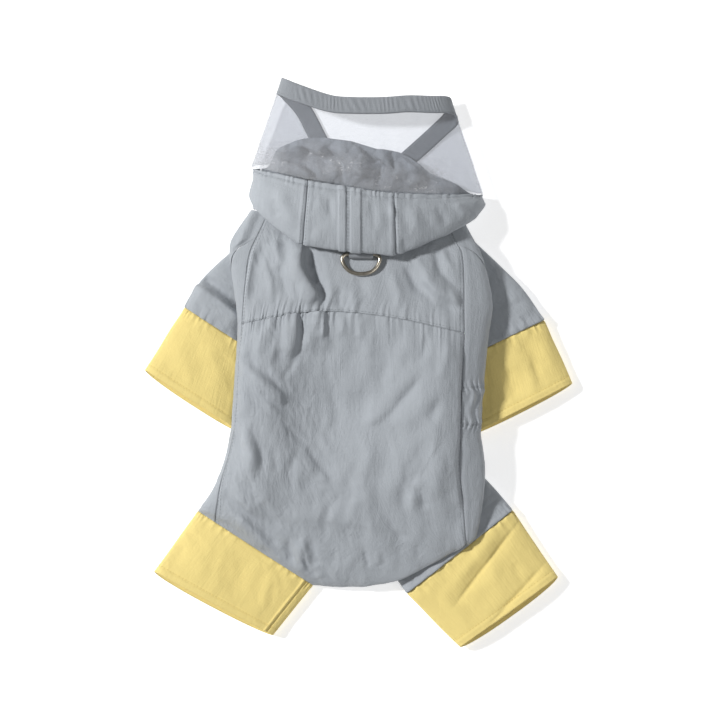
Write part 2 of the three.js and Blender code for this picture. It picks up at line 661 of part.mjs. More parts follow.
function rightFlank(u, v) {
  const s = lerp(lerp(RAGLAN_RIGHT.top, RAGLAN_RIGHT.foot, u), HEM_STATION - 0.15, v);
  const high = 1 + flankLimit(s, 1, rightFlankHeight(s));
  return trunk(s, lerp(rightSeam(s, HALF_GAP), high, u));
}

// The elastic patch: two shirred rows across the flank, and upright folds between them.
function patchRelief(u, v, p) {
  const rows = Math.exp(-(((p.y - PATCH.top) / 2.5) ** 2)) + Math.exp(-(((p.y - PATCH.bottom) / 2.5) ** 2));
  const inside = smoothstep(PATCH.top + 3 - p.y, 0, 6) * smoothstep(p.y - PATCH.bottom + 3, 0, 6);
  const upright = 0.5 - 0.5 * Math.cos(2 * Math.PI * PATCH.folds * clamp(u / 0.8, 0, 1));
  return 0.9 * inside * upright + 0.7 * rows * (0.5 - 0.5 * Math.cos(2 * Math.PI * 5 * u));
}

addPiece(
  'side_right',
  clothWall({ surface: rightFlank, us: steps(0, 1, 16), vs: steps(0, 1, 30), relief: patchRelief }),
  GREY
);

// Raglan sleeves: a shoulder part on the trunk, which runs down into the flattened sleeve.
function shoulder(side) {
  const { top, foot } = side < 0 ? RAGLAN_LEFT : RAGLAN_RIGHT;
  return (u, v) => {
    const end = lerp(top, foot, side < 0 ? 1 - u : u);
    const s = lerp(0.02, end - RAGLAN_GAP, v);
    const height = SLEEVE_HEIGHT * 0.9 * smoothstep(s, 0.5, 1.2);
    const limit = flankLimit(s, side, height);
    if (side < 0) return trunk(s, lerp(-limit, leftSeam(s, -HALF_GAP), u));
    return trunk(s, lerp(rightSeam(s, HALF_GAP), 1 + limit, u));
  };
}

// One stretch of a limb, between two of its rings; the under layer may reach out further.
function limbWall(limb, from, to, { underLayer = 0, around = 28, along = 6 } = {}) {
  const { rings } = limb;
  const pitch = Math.hypot(rings[1].xo - rings[0].xo, rings[1].yo - rings[0].yo);
  return clothWall({
    surface: (u, v) => {
      const a = u - Math.floor(u);
      const further = (underLayer / pitch) * Math.max(-Math.sin(2 * Math.PI * a), 0);
      return flatTube(limb, lerp(from, to + further, v), a);
    },
    us: steps(0, 1, around),
    vs: steps(0, 1, along),
    ring: true,
    mirrored: rings[0].xo > rings[0].xi,
  });
}

const RING_GAP = HALF_GAP / 14;
for (const [name, side, limb] of [
  ['sleeve_left', -1, FRONT_LEFT],
  ['sleeve_right', 1, FRONT_RIGHT],
]) {
  const cap = clothWall({ surface: shoulder(side), us: steps(0, 1, 8), vs: steps(0, 1, 10) });
  const sleeve = limbWall(limb, 0, limb.cuffFrom - RING_GAP, { around: 36, along: 9 });
  addPiece(name, joined(cap, sleeve), GREY);
}

// Hind leg on the right, a tube that starts under the back's hem
addPiece('leg_hind_right', limbWall(HIND_RIGHT, 0, HIND_RIGHT.cuffFrom - RING_GAP), GREY);

// Yellow cuffs
for (const [name, limb] of [
  ['cuff_front_left', FRONT_LEFT],
  ['cuff_front_right', FRONT_RIGHT],
  ['cuff_hind_left', HIND_LEFT],
  ['cuff_hind_right', HIND_RIGHT],
]) {
  const hem = limb.rings.length - 1;
  addPiece(name, limbWall(limb, limb.cuffFrom + RING_GAP, hem, { underLayer: UNDER_LAYER }), YELLOW);
}

// Underside: flat sheets on the floor
function flatSheet(points, thickness) {
  const shape = new THREE.Shape(points.map(([x, y]) => new THREE.Vector2(x, y)));
  return new THREE.ExtrudeGeometry(shape, { depth: thickness, bevelEnabled: false });
}

const flankFoot = (s, side, gap) => {
  const p = trunk(s, side < 0 ? -0.25 : 1.25);
  return [p.x - side * gap, p.y];
};
const WAIST_LEFT = 9.6;
const LEG_SEAM_LEFT = 10.6;
addPiece(
  'belly_panel',
  flatSheet(
    [
      [-68, 104],
      [-64, 90],
      [-64, 14],
      [-72, 4],
      [-80, -50],
      flankFoot(WAIST_LEFT, -1, SEAM_GAP + 0.2),
      flankFoot(LEG_SEAM_LEFT, -1, SEAM_GAP + 0.4),
      [-30, -150],
      [-2, -155],
      [78, -78],
      [77, -62],
      [76, -54],
      [74, 3],
      [58, 11],
      [58, 92],
      [68, 102],
    ],
    CLOTH
  ),
  GREY
);

addPiece(
  'leg_hind_left',
  flatSheet(
    [
      flankFoot(LEG_SEAM_LEFT + 0.05, -1, SEAM_GAP + 0.4),
      flankFoot(13, -1, SEAM_GAP + 0.4),
      [-107, -120],
      [-42, -161.8],
      [-30.5, -158],
      [-29.8, -150.5],
    ],
    CLOTH
  ),
  GREY
);

// Visor sheet and its trim
const visorColumns = steps(0, 1, 30);
const VISOR_SPAN = VISOR.length - 1;
addPiece(
  'visor',
  clothWall({
    surface: (u, v) => visorSurface(u * VISOR_SPAN, v * (trimStart(u * VISOR_SPAN) - 0.006)),
    us: visorColumns,
    vs: steps(0, 1, 6),
    thickness: VISOR_SHEET,
    coarse: 1,
    mirrored: true,
  }),
  CLEAR
);
addPiece(
  'visor_trim',
  clothWall({
    surface: (u, v) => visorSurface(u * VISOR_SPAN, lerp(trimStart(u * VISOR_SPAN), 1, v)),
    us: steps(0, 1, 60),
    vs: [0, 0.25, 0.75, 1],
    thickness: TRIM_THICKNESS,
    mirrored: true,
  }),
  GREY_TRIM
);

// Hood crown in three panels, gathered along the front rim
const HOOD_SPAN = HOOD.length - 1;

function rimGather(s, v, height) {
  const fade = Math.max(1 - v / 0.16, 0);
  return height * fade * (0.5 - 0.5 * Math.cos((2 * Math.PI * RIM_WAVES * s) / HOOD_SPAN));
}

function casing(p, v) {
  const over = smoothstep(v, 0, 0.02) * (1 - smoothstep(v, 0.6, 0.7));
  let lift = 0;
  for (const { x, half } of CASING_RIDGES) lift += 1 - smoothstep(Math.abs(p.x - x), half * 0.7, half);
  return over * lift;
}

for (const [name, from, to, columns, waves] of [
  ['hood_left', 0, HOOD_SEAM_LEFT, 12, 14],
  ['hood_centre', HOOD_SEAM_LEFT, HOOD_SEAM_RIGHT, 18, 11],
  ['hood_right', HOOD_SEAM_RIGHT, HOOD_SPAN, 12, 14],
]) {
  const start = from === 0 ? 0 : from + 0.01;
  const end = to === HOOD_SPAN ? to : to - 0.01;
  addPiece(
    name,
    clothWall({
      surface: (u, v) => hoodCrown(lerp(start, end, u), v),
      us: steps(0, 1, columns),
      vs: [0, 0.05, 0.11, 0.18, ...steps(0.25, 1, 13)],
      finer: (v) => (v < 0.12 ? steps(0, 1, waves * 3) : null),
      relief: (u, v, p) => rimGather(lerp(start, end, u), v, RIM_WAVE_HEIGHT) + casing(p, v),
    }),
    GREY
  );
}

addPiece(
  'hood_throat',
  clothWall({ surface: throat, us: steps(0, 1, 26), vs: steps(0, 1, 14), coarse: 1, mirrored: true }),
  GREY
);

// Leash ring: a bent wire in the shape of a D, hinged on its straight bar in a webbing loop
const loopRadius = RING_WIRE / 2 + LOOP_CLEARANCE + LOOP_TAPE;
const barHeight = trunkTop(RING_X, RING_BAR_Y) + loopRadius + SEAM_GAP + 0.2;
const tipHeight = trunkTop(RING_X, RING_BAR_Y - RING_DEPTH) + RING_WIRE / 2 + 0.8;
const ringTilt = Math.atan2(tipHeight - barHeight, RING_DEPTH);

function ringPath() {
  const w = RING_HALF_WIDTH;
  const d = RING_DEPTH;
  const outline = [
    [-0.8 * w, 0],
    [-0.3 * w, 0],
    [0.3 * w, 0],
    [0.8 * w, 0],
    [w, -0.22 * d],
    [0.86 * w, -0.62 * d],
    [0.5 * w, -0.92 * d],
    [0, -d],
    [-0.5 * w, -0.92 * d],
    [-0.86 * w, -0.62 * d],
    [-w, -0.22 * d],
  ];
  return new THREE.CatmullRomCurve3(outline.map(([x, y]) => new THREE.Vector3(x, y, 0)), true);
}

function wireLoop(path, radius, around, along) {
  const positions = [];
  const triangles = [];
  for (let k = 0; k < along; k += 1) {
    const centre = path.getPointAt(k / along);
    const tangent = path.getTangentAt(k / along);
    const aside = new THREE.Vector3(-tangent.y, tangent.x, 0);
    for (let j = 0; j < around; j += 1) {
      const angle = (2 * Math.PI * j) / around;
      const p = centre.clone().addScaledVector(aside, radius * Math.cos(angle));
      positions.push(p.x, p.y, radius * Math.sin(angle));
      const a = k * around + j;
      const b = k * around + ((j + 1) % around);
      const c = ((k + 1) % along) * around + j;
      const d = ((k + 1) % along) * around + ((j + 1) % around);
      triangles.push(a, c, b, b, c, d);
    }
  }
  return closedGeometry(positions, triangles);
}

const ring = addPiece('d_ring', wireLoop(ringPath(), RING_WIRE / 2, 8, 44), METAL);
ring.position.set(RING_X, RING_BAR_Y, barHeight);
ring.rotation.x = -ringTilt;

function loopShape() {
  const tail = 17;
  const drop = trunkTop(RING_X, RING_BAR_Y + tail) - trunkTop(RING_X, RING_BAR_Y);
  const foot = -loopRadius;
  const shape = new THREE.Shape();
  const turns = 14;
  for (let k = 0; k <= turns; k += 1) {
    const angle = lerp(0.35 * Math.PI, 1.5 * Math.PI, k / turns);
    const point = [loopRadius * Math.cos(angle), loopRadius * Math.sin(angle)];
    if (k === 0) shape.moveTo(...point);
    else shape.lineTo(...point);
  }
  shape.lineTo(tail, foot + drop + 0.4);
  shape.lineTo(tail, foot + drop + 0.4 + 2 * LOOP_TAPE);
  shape.lineTo(loopRadius * 1.6, foot + 2 * LOOP_TAPE + 0.4);
  const eye = new THREE.Path();
  eye.absarc(0, 0, RING_WIRE / 2 + LOOP_CLEARANCE, 0, 2 * Math.PI, true);
  shape.holes.push(eye);
  return shape;
}

const loopGeometry = new THREE.ExtrudeGeometry(loopShape(), {
  depth: LOOP_WIDTH,
  bevelEnabled: false,
  curveSegments: 16,
});
// The section is drawn in the Y-Z plane, so the extrusion is turned to run along X.
loopGeometry.applyMatrix4(
  new THREE.Matrix4().set(0, 0, 1, -LOOP_WIDTH / 2, 1, 0, 0, 0, 0, 1, 0, 0, 0, 0, 0, 1)
);
const loop = addPiece('ring_loop', loopGeometry, GREY_TRIM);
loop.position.set(RING_X, RING_BAR_Y, barHeight);

// The origin is at the middle of the footprint, on the floor.
const box = new THREE.Box3().setFromObject(coat);
coat.position.set(-(box.min.x + box.max.x) / 2, -(box.min.y + box.max.y) / 2, -box.min.z);

export default coat;
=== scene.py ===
import math

import bmesh
import bpy
import numpy as np
from bpy.props import FloatProperty, FloatVectorProperty, IntProperty, PointerProperty
from mathutils import Matrix, Vector


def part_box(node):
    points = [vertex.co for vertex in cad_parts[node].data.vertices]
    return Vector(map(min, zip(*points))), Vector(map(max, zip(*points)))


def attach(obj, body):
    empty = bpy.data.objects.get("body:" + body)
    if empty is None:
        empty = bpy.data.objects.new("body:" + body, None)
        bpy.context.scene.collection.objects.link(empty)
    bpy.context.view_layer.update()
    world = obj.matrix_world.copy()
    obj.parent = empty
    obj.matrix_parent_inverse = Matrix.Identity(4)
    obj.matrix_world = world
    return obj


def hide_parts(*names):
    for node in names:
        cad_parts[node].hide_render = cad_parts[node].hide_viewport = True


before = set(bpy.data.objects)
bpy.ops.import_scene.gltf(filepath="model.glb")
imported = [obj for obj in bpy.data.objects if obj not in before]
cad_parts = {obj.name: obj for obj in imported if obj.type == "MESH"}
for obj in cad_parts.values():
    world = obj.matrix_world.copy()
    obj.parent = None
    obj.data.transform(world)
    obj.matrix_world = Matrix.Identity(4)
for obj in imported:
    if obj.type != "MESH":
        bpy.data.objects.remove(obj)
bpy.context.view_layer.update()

bl_info = {
    "name": "Dog raincoat",
    "version": (1, 0, 0),
    "blender": (4, 5, 0),
    "location": "View3D > Sidebar > Raincoat",
    "description": "Cloth, hood, visor, hardware and stitching of a dog raincoat laid on its belly",
    "category": "Object",
}

# Every size below is in millimetres, on the coat as it lies; MM turns it into Blender's metres.
MM = 0.001
MERGE = 1e-6
ROUNDNESS = 2.4
EDGE_TUCK = 10
HALF_GAP = 0.03
ARMHOLE_HEIGHT = 14.6
SLEEVE_HEIGHT = 13
TRIM_WIDTH = 13
RING_X = 1.5
RING_BAR_Y = 80.5
RING_HALF_WIDTH = 14
RING_DEPTH = 14.5
RING_WIRE = 3
RING_CLEARANCE = 0.35
WEBBING = 1.3
RING_LIFT = 0.8
BELLY_TOP_Y = 104
# Mean widths and lengths of pieces, for places given as distances from their edges.
BACK_LENGTH = 240
BACK_WIDTH = 175
YOKE_LENGTH = 80
YOKE_WIDTH = 165
LIMB_LENGTH = 45
CUFF_LENGTH = 55
CUFF_HEM = 49
HOOD_LENGTH = 90
HOOD_STITCHES = 4.2
# Where the yoke's gathers start and end, the flank's two rows of elastic, the floor's depth under the
# coat and the lowest place of a stitch.
GATHERS_START, GATHERS_END = 0.03, 0.97
SHIRR_TOP = -18.5
SHIRR_BOTTOM = -46.5
FLOOR_DROP = 0.2
STITCH_FLOOR = 0.35
SENSOR_WIDTH = 36


def columns(names, rows):
    """A table with named columns."""
    return dict(zip(names.split(), np.array(rows, dtype=float).T))


# Trunk, from the neck to the left hind cuff: left edge, right edge, crest height, the two edges'
# heights, and how far in the side seams lie.
TRUNK = columns("xl yl xr yr crest zl zr seam_l seam_r", [
    (-80, 114, 80, 104, 25, 12, 12, 13, 15),
    (-94.5, 94, 86, 92, 28, 17, 17, 18, 14.5),
    (-97, 80.5, 91.5, 81.5, 31, 19, 19, 15, 14.5),
    (-94.5, 59.5, 97, 62, 35, 20, 20, 9.5, 18.5),
    (-91.5, 38, 100, 41, 38, 21, 21, 4.5, 21.5),
    (-91, 20.5, 97, 20.5, 40, 21, 21, 3, 18.5),
    (-93, -9, 94, -9, 41, 21, 21, 3, 17),
    (-94.5, -32, 91.5, -30, 40, 21, 21, 3, 15),
    (-96, -50.5, 91, -51.5, 38, 20, 20, 2.5, 15),
    (-100, -69.5, 94, -73, 36, 17, 19, 2.5, 19),
    (-105, -84.5, 94, -92, 33, 14, 18.5, 3, 18),
    (-111, -97, 92, -109, 30, 11, 18, 6, 14),
    (-115.5, -104, 88, -129.5, 27, 9, 17.5, 9.5, 8.5),
    (-118, -107, 80, -137.5, 25, 8, 17, 11.5, 1),
    (-119, -109, 65, -145, 23, 7.5, 16.5, 12.2, 0),
    (-120, -110, 44, -156.5, 21, 7, 15.8, 13.3, 0),
    (-120.5, -110.5, 25.5, -164.5, 19, 6.5, 14.5, 13.9, 0),
    (-121, -111, -7, -169, 15.5, 6, 7, 14.8, 0),
    (-121, -111.5, -34.5, -167.5, 13.5, 6, 6, 15.5, 0),
])
LAST_STATION = len(TRUNK["xl"]) - 1
HEM_STATION = 13
LEG_CLOSES_FROM = 16
RAGLAN = {"zl": (1.0, 3.25), "zr": (1.4, 3.1)}

YOKE_SEAM = columns("x y", [
    (-90, 28.5), (-63, 33.5), (-46.5, 37), (-24, 38), (-4, 37), (18, 34.5), (39, 31), (61, 26), (80, 21.5),
])

# Limbs: each ring's outer edge, inner edge and height, from the trunk outwards, and the large folds
# on their tops.
LIMB_COLUMNS = "xo yo xi yi height"
FRONT_LEFT = columns(LIMB_COLUMNS, [
    (-93, 86, -69, 18, 12.4), (-108, 73, -71, 13, 12.8), (-121, 59, -74, 9.5, 13), (-131, 41.5, -77, 6.5, 13),
    (-142, 25, -81, -14, 12.5), (-152, 8.5, -85, -34, 12), (-161, -5.5, -89, -52, 13.5),
])
FRONT_RIGHT = columns(LIMB_COLUMNS, [
    (88, 90, 61, 13, 12.4), (107, 72, 68, 11, 12.8), (124, 54.5, 75, 8, 13), (139, 32, 79, 3, 13),
    (146, 17, 81, -15, 12.5), (153.5, 1, 83, -35, 12), (160.5, -15.5, 85.5, -53.5, 13.5),
])
HIND_RIGHT = columns(LIMB_COLUMNS, [
    (92, -84, 22, -154, 14.1), (104, -97, 29, -164, 14.1), (115.5, -111, 36, -173.5, 14),
    (127, -128, 49, -187, 13), (138.5, -145, 62, -200.5, 12.5), (149.5, -161, 76, -214, 14),
])
HIND_LEFT = columns(LIMB_COLUMNS, [
    (-121, -111.5, -34.5, -167.5, 13.5), (-132, -126.5, -44.5, -180, 13),
    (-143, -142, -54.5, -192.5, 12.5), (-154, -157, -64.5, -205, 14),
])
UNDER_LAYER = 4
LIMB_FOLDS = [
    (FRONT_LEFT, [
        ([(-112, 16), (-104, -22)], 6, 1),
    ]),
    (FRONT_RIGHT, [([(124, 20), (136, -10)], 6, -1.6), ([(110, -4), (120, -27)], 6, -1.5)]),
    (HIND_RIGHT, [
        ([(120, -121), (71, -184)], 5, -1.3), ([(112, -116), (64, -176)], 5, 1),
        ([(140, -151), (99, -196)], 5, -1.2),
    ]),
    (HIND_LEFT, [([(-112, -130), (-120, -164)], 8, 1), ([(-86, -146), (-92, -178)], 6, -0.9)]),
]

# Hood crown, left to right: the front rim and the back fold.
HOOD = columns("xr yr zr xf yf zf", [
    (-75, 146, 0.2, -78, 127, 0.2), (-79, 145.5, 8, -82.5, 126, 9), (-73, 143.5, 19, -76, 114, 22),
    (-55, 139.5, 29, -61, 100.5, 32), (-38, 135.5, 35, -42, 88.5, 38), (-13, 131.5, 39, -13, 83.5, 41),
    (7, 128, 40, 8, 81.5, 41.5), (26, 126, 38, 28, 80.5, 40), (56, 125, 31, 60, 93.5, 34),
    (82, 125.5, 20, 84, 106, 22), (92, 125.5, 8, 94.5, 118, 9), (88, 125, 0.2, 90, 117, 0.2),
])
HOOD_SPAN = len(HOOD["xr"]) - 1
HOOD_SEAM_LEFT = 4
HOOD_SEAM_RIGHT = 7
HOOD_BULGE = 7

THROAT_EDGE = columns("x y", [
    (-75, 146), (-68, 148), (-62, 160), (-48, 166), (-32, 169), (-5, 166), (14, 160.5), (30, 158),
    (41, 152), (54, 142), (70, 135.5), (84, 127),
])

# Visor, left flap to right flap: the hood's rim and the front edge.
VISOR = columns("xr yr zr xe ye ze", [
    (-52, 152, 0, -23, 168, 0), (-65, 149.5, 0, -37, 194, 0), (-77.5, 148.5, 2.2, -51, 209.5, 1.8),
    (-81, 147, 10, -58, 214, 7.5), (-73.5, 145, 20, -54, 212.5, 13), (-55, 140.5, 29.6, -42, 207.5, 16),
    (-38, 136.5, 35.6, -21, 200.5, 18), (-13, 132.5, 39.6, -5, 199, 19), (7, 129, 40.6, 18, 199, 19),
    (26, 127, 38.6, 37, 200.3, 18), (56, 126, 31.6, 54, 200, 16), (82, 126.5, 21, 65, 200, 13),
    (93, 127, 10, 69.5, 197.5, 7.5), (88, 128, 2.2, 65, 188.5, 1.8), (74, 131, 0, 50, 174, 0),
    (60, 134, 0, 31, 157, 0),
])
VISOR_SPAN = len(VISOR["xr"]) - 1
VISOR_BULGE = 3

# The back's broad hollow: from one place to another, its half width and its depth.
SAG = ((-14, 8), (-12, -70), 45, 12)

# Folds: a line through the given places, its half width and its height; a trough is negative.
BROAD_CREASES = [
    ([(-76, 78), (-62, 46)], 5, 1.8),
    ([(-47, 84), (-44, 63), (-35, 45)], 5, 2.4),
    ([(-36, 80), (-33, 60)], 5, -1.6),
    ([(-33, 58), (-26, 42)], 5, -1.4),
    ([(36, 72), (47, 50)], 5, -1.3),
    ([(50, 76), (64, 40)], 5, 1.8),
    ([(-53, 34), (-56, 4)], 5, 2.2),
    ([(-44, 32), (-48, -2)], 5, -1.9),
    ([(-34, 34), (-37, 4)], 5, 1.6),
    ([(-80, -8), (-54, -32)], 5, 1.6),
    ([(-62, -36), (-38, -63)], 5, -1.9),
    ([(-38, -63), (-23, -86)], 5, -1.9),
    ([(-72, -46), (-34, -88)], 6, 1.6),
    ([(-82, -50), (-78, -80)], 5, 1.8),
    ([(49, -8), (15, -46)], 6, -1.9),
    ([(58, -20), (28, -52)], 7, 1.9),
    ([(58, -62), (43, -90)], 5, -2),
    ([(43, -90), (50, -111)], 5, -2),
    ([(62, -70), (54, -106)], 5, 1.8),
    ([(38, -60), (28, -100)], 7, 1.4),
    ([(-96, -112), (-66, -138)], 6, 1.5),
    ([(-42, -146), (-34, -162)], 4.5, -1.8),
    ([(0, -110), (26, -144)], 7, 1.5),
]
BACK_FOLDS = [
    ([(-44, 36), (-43, 24), (-45, 10), (-50, -3), (-57, -12)], 2.2, -1.1),
    ([(-49, 34), (-49.5, 18), (-55, 2)], 2.8, 0.9),
    ([(-37, 35), (-37.5, 22), (-41, 8)], 2.6, 1.2),
    ([(-29, 34), (-30, 22)], 2.4, -1.3),
    ([(-24, 35), (-24, 18), (-27, 8)], 3.0, 1.2),
    ([(-60, 31), (-63, 18), (-66, 8)], 3.0, -1.3),
    ([(-68, 30), (-72, 14)], 3.2, 1.3),
    ([(-12, 34), (-13, 20)], 2.6, 1.0),
    ([(2, 34), (1, 16)], 2.8, 1.1),
    ([(-64, -35), (-52.6, -48), (-39, -61.5), (-26, -80), (-22.5, -86.5)], 2.6, -1.6),
    ([(-58, -42), (-46, -54), (-33, -70)], 2.4, 0.9),
    ([(-50, -38), (-36, -52), (-20, -72)], 5, 1.3),
    ([(-46, -66), (-52, -82), (-50, -98)], 3.2, -1.1),
    ([(-64, -64), (-62, -84)], 3.4, -1.1),
    ([(-81, -8), (-76, -11.5), (-61, -26.5), (-52.6, -33)], 2.4, 1.0),
    ([(-84, -22), (-70, -34), (-62, -44)], 3, -1.3),
    ([(-86, -53), (-79, -66.5), (-77.6, -78)], 2.4, 0.9),
    ([(-80, -52), (-73, -66), (-72, -80)], 2.4, -0.8),
    ([(49, -8), (37, -23), (24, -38), (14, -46.5)], 3.6, -1.0),
    ([(30, -30), (18, -40), (4, -46)], 4.0, 1.0),
    ([(61, -60), (49, -75), (41, -90), (42.5, -103), (51, -111.5)], 3.2, -0.3),
    ([(46, -70), (36, -86), (35, -100)], 4.0, 0.9),
    ([(-42.6, -145), (-37.6, -153), (-32.6, -163)], 2.2, -1.2),
    ([(-32.6, -150), (-29, -163)], 3.2, 1.9),
    ([(-47.6, -136), (-41, -158)], 3.4, 1.6),
    ([(-54, -134), (-50, -150)], 2.6, -1.2),
    ([(4, -141), (7.4, -153)], 2.4, -1.2),
    ([(14, -140), (15, -152)], 2.8, 0.9),
    ([(-76, -104), (-58, -124)], 3.4, -1.3),
    ([(-88, -88), (-72, -104)], 3.4, -1.4),
    ([(-92, -100), (-78, -112)], 3.0, 1.2),
    ([(10, -56), (2, -84), (6, -112)], 6, 1.1),
    ([(-14, -96), (-26, -118), (-24, -136)], 3.6, -1.3),
    ([(-2, -100), (-10, -124)], 3.6, 1.0),
    ([(22, -118), (34, -134)], 4, -1.2),
    ([(66, 14), (60, -14)], 4, 1.3),
    ([(52, 20), (46, 2)], 3.6, -1.2),
    ([(10, 24), (8, 4)], 4, 0.9),
    ([(-76, 24), (-72, 6)], 3.4, 1.2),
    ([(-80, 12), (-78, -6)], 3.0, -1.1),
    ([(-66, -2), (-58, -14)], 3.0, 1.0),
    ([(60, -26), (52, -44)], 3.6, -1.0),
    ([(30, 6), (22, -16)], 5, 0.9),
]
YOKE_FOLDS = [
    ([(-72, 80), (-66, 62), (-64, 44)], 2.8, 1.2),
    ([(-66, 84), (-57, 66), (-53, 46)], 2.8, -0.9),
    ([(-58, 80), (-50, 60), (-47, 44)], 3.0, 1.0),
    ([(-48, 86), (-45, 70), (-40, 56), (-33, 45)], 3.2, 0.7),
    ([(-40, 84), (-37, 68), (-31, 54), (-26, 42)], 3.0, -0.8),
    ([(-22, 62), (-22, 40)], 3, 1.3),
    ([(-14, 56), (-15, 40)], 2.6, -1.1),
    ([(-4, 54), (-5, 40)], 2.8, 0.9),
    ([(24, 70), (30, 50), (28, 38)], 3.6, 1.2),
    ([(34, 74), (44, 54)], 3.0, -1.3),
    ([(42, 80), (54, 58), (60, 38)], 3.4, 1.4),
    ([(56, 84), (62, 66), (74, 54)], 3.0, -1.3),
    ([(62, 84), (70, 68)], 3.0, 1.2),
    ([(68, 54), (74, 40)], 3.0, 1.0),
]
# Folds that stand up and shade the cloth beside them: their line, the widths of their gentle side and
# of their steep side, which is on the left of the line, and their height.
YOKE_DRAPES = [
    ([(-40, 96), (-43, 86), (-46.5, 71), (-40, 60), (-32, 48), (-28, 40)], 13, 3.2, 5.4),
    ([(80, 43), (73, 46), (62, 50), (50, 61), (44, 66)], 7, 3.0, 2.7),
    ([(-76, 92), (-80, 78), (-83, 62), (-85, 44)], 6, 2.6, 2.2),
    ([(-64, 92), (-60, 80), (-61, 66)], 6, 3.0, 2.0),
]
BACK_DRAPES = [
    ([(-50, 44), (-46.5, 27), (-46.5, 12), (-50, 0)], 8, 3.0, 2.5),
    ([(-28.5, 44), (-27, 28), (-28, 14)], 5, 2.0, 2.0),
    ([(-64, 40), (-62, 20), (-66, -6)], 6, 2.6, 2.0),
    ([(-80, -20), (-64, -36), (-46, -52), (-32, -70), (-25, -88), (-24, -102)], 9, 3.2, 2.2),
    ([(-88, -40), (-80, -60), (-79, -90)], 6, 3.0, 1.3),
    ([(-90, 4), (-78, -8), (-66, -18), (-52, -30)], 7, 2.8, 2.0),
    ([(2, -46), (24, -32), (48, 0)], 11, 6.5, 1.7),
    ([(40, -116), (40, -92), (60, -56)], 9, 3.2, 2.4),
    ([(-44, -130), (-38, -146), (-34, -166)], 6, 2.4, 2.2),
    ([(-106, -102), (-84, -120), (-60, -146)], 7, 2.8, 2.2),
]
SHOULDER_DRAPES = [
    ([(-74, 122), (-82, 104), (-89, 88), (-89, 70), (-86, 56)], 4, 3.0, 2.2),
]
SLEEVE_DRAPES = [
    ([(-128, 60), (-118.5, 55), (-108, 48.5), (-98, 40.5), (-82, 27)], 14, 3.4, 7.0),
    ([(146, 30), (138, 26), (131, 20)], 6, 2.4, 2.0),
]
THROAT_FOLDS = [
    ([(-66, 150), (-20, 132)], 7, 6),
    ([(-52, 164), (-22, 158)], 6, 7),
    ([(-18, 166), (6, 140)], 7, 8),
    ([(12, 158), (36, 138)], 6, 7),
    ([(40, 150), (44, 130)], 6, 5),
    ([(56, 138), (80, 128)], 5, 3),
]
THROAT_CRUMPLES = [
    ([(-60, 156), (-40, 150), (-30, 140)], 2.6, -2.6),
    ([(-44, 162), (-36, 154), (-20, 150)], 2.4, -2.4),
    ([(-24, 160), (-14, 148), (-12, 136)], 2.4, -3.0),
    ([(-6, 162), (4, 152)], 2.2, 2.0),
    ([(8, 156), (16, 146), (14, 134)], 2.6, -2.8),
    ([(24, 156), (28, 142)], 2.2, -2.4),
    ([(34, 152), (44, 142)], 2.0, 1.8),
    ([(48, 140), (62, 134)], 2.2, -1.8),
    ([(-50, 146), (-34, 138)], 2.2, 1.8),
    ([(-4, 146), (10, 138)], 2.0, 1.6),
]


def smooth(table, name, s):
    """A column of a table, smooth through its evenly spaced rows."""
    values = table[name]
    last = len(values) - 1
    s = np.asarray(s, dtype=float)
    i = np.clip(np.floor(s).astype(int), 0, last - 1)
    f = s - i
    here = values[i]
    after_here = values[i + 1]
    before = np.where(i > 0, values[np.maximum(i - 1, 0)], 2 * here - after_here)
    after = np.where(i < last - 1, values[np.minimum(i + 2, last)], 2 * after_here - here)
    cubic = -before + 3 * here - 3 * after_here + after
    square = 2 * before - 5 * here + 4 * after_here - after
    return here + 0.5 * f * (after_here - before + f * (square + f * cubic))


def y_at(curve, x):
    """The y of a curve that is given by its points in x order."""
    xs = curve["x"]
    i = np.clip(np.searchsorted(xs, x) - 1, 0, len(xs) - 2)
    f = np.clip((x - xs[i]) / (xs[i + 1] - xs[i]), 0, 1)
    return smooth(curve, "y", i + f)


def mix(a, b, t):
    return a + (b - a) * t


def ease(x, low, high):
    """0 below low, 1 above high, smooth between."""
    t = np.clip((x - low) / (high - low), 0, 1)
    return t * t * (3 - 2 * t)


def bump(x, middle, half):
    return np.exp(-(((x - middle) / half) ** 2))


def point(x, y, z):
    return np.stack(np.broadcast_arrays(x, y, z), axis=-1)


def noise(x, y, seed):
    """Smooth noise about zero, roughly from -0.7 to 0.7, one feature for each unit."""
    xi = np.floor(x)
    yi = np.floor(y)
    fx = x - xi
    fy = y - yi

    def corner(dx, dy):
        mixed = np.sin((xi + dx) * 127.1 + (yi + dy) * 311.7 + seed * 74.7) * 43758.5453
        angle = 2 * np.pi * (mixed - np.floor(mixed))
        return np.cos(angle) * (fx - dx) + np.sin(angle) * (fy - dy)

    sx = fx * fx * fx * (fx * (6 * fx - 15) + 10)
    sy = fy * fy * fy * (fy * (6 * fy - 15) + 10)
    return mix(mix(corner(0, 0), corner(1, 0), sx), mix(corner(0, 1), corner(1, 1), sx), sy)


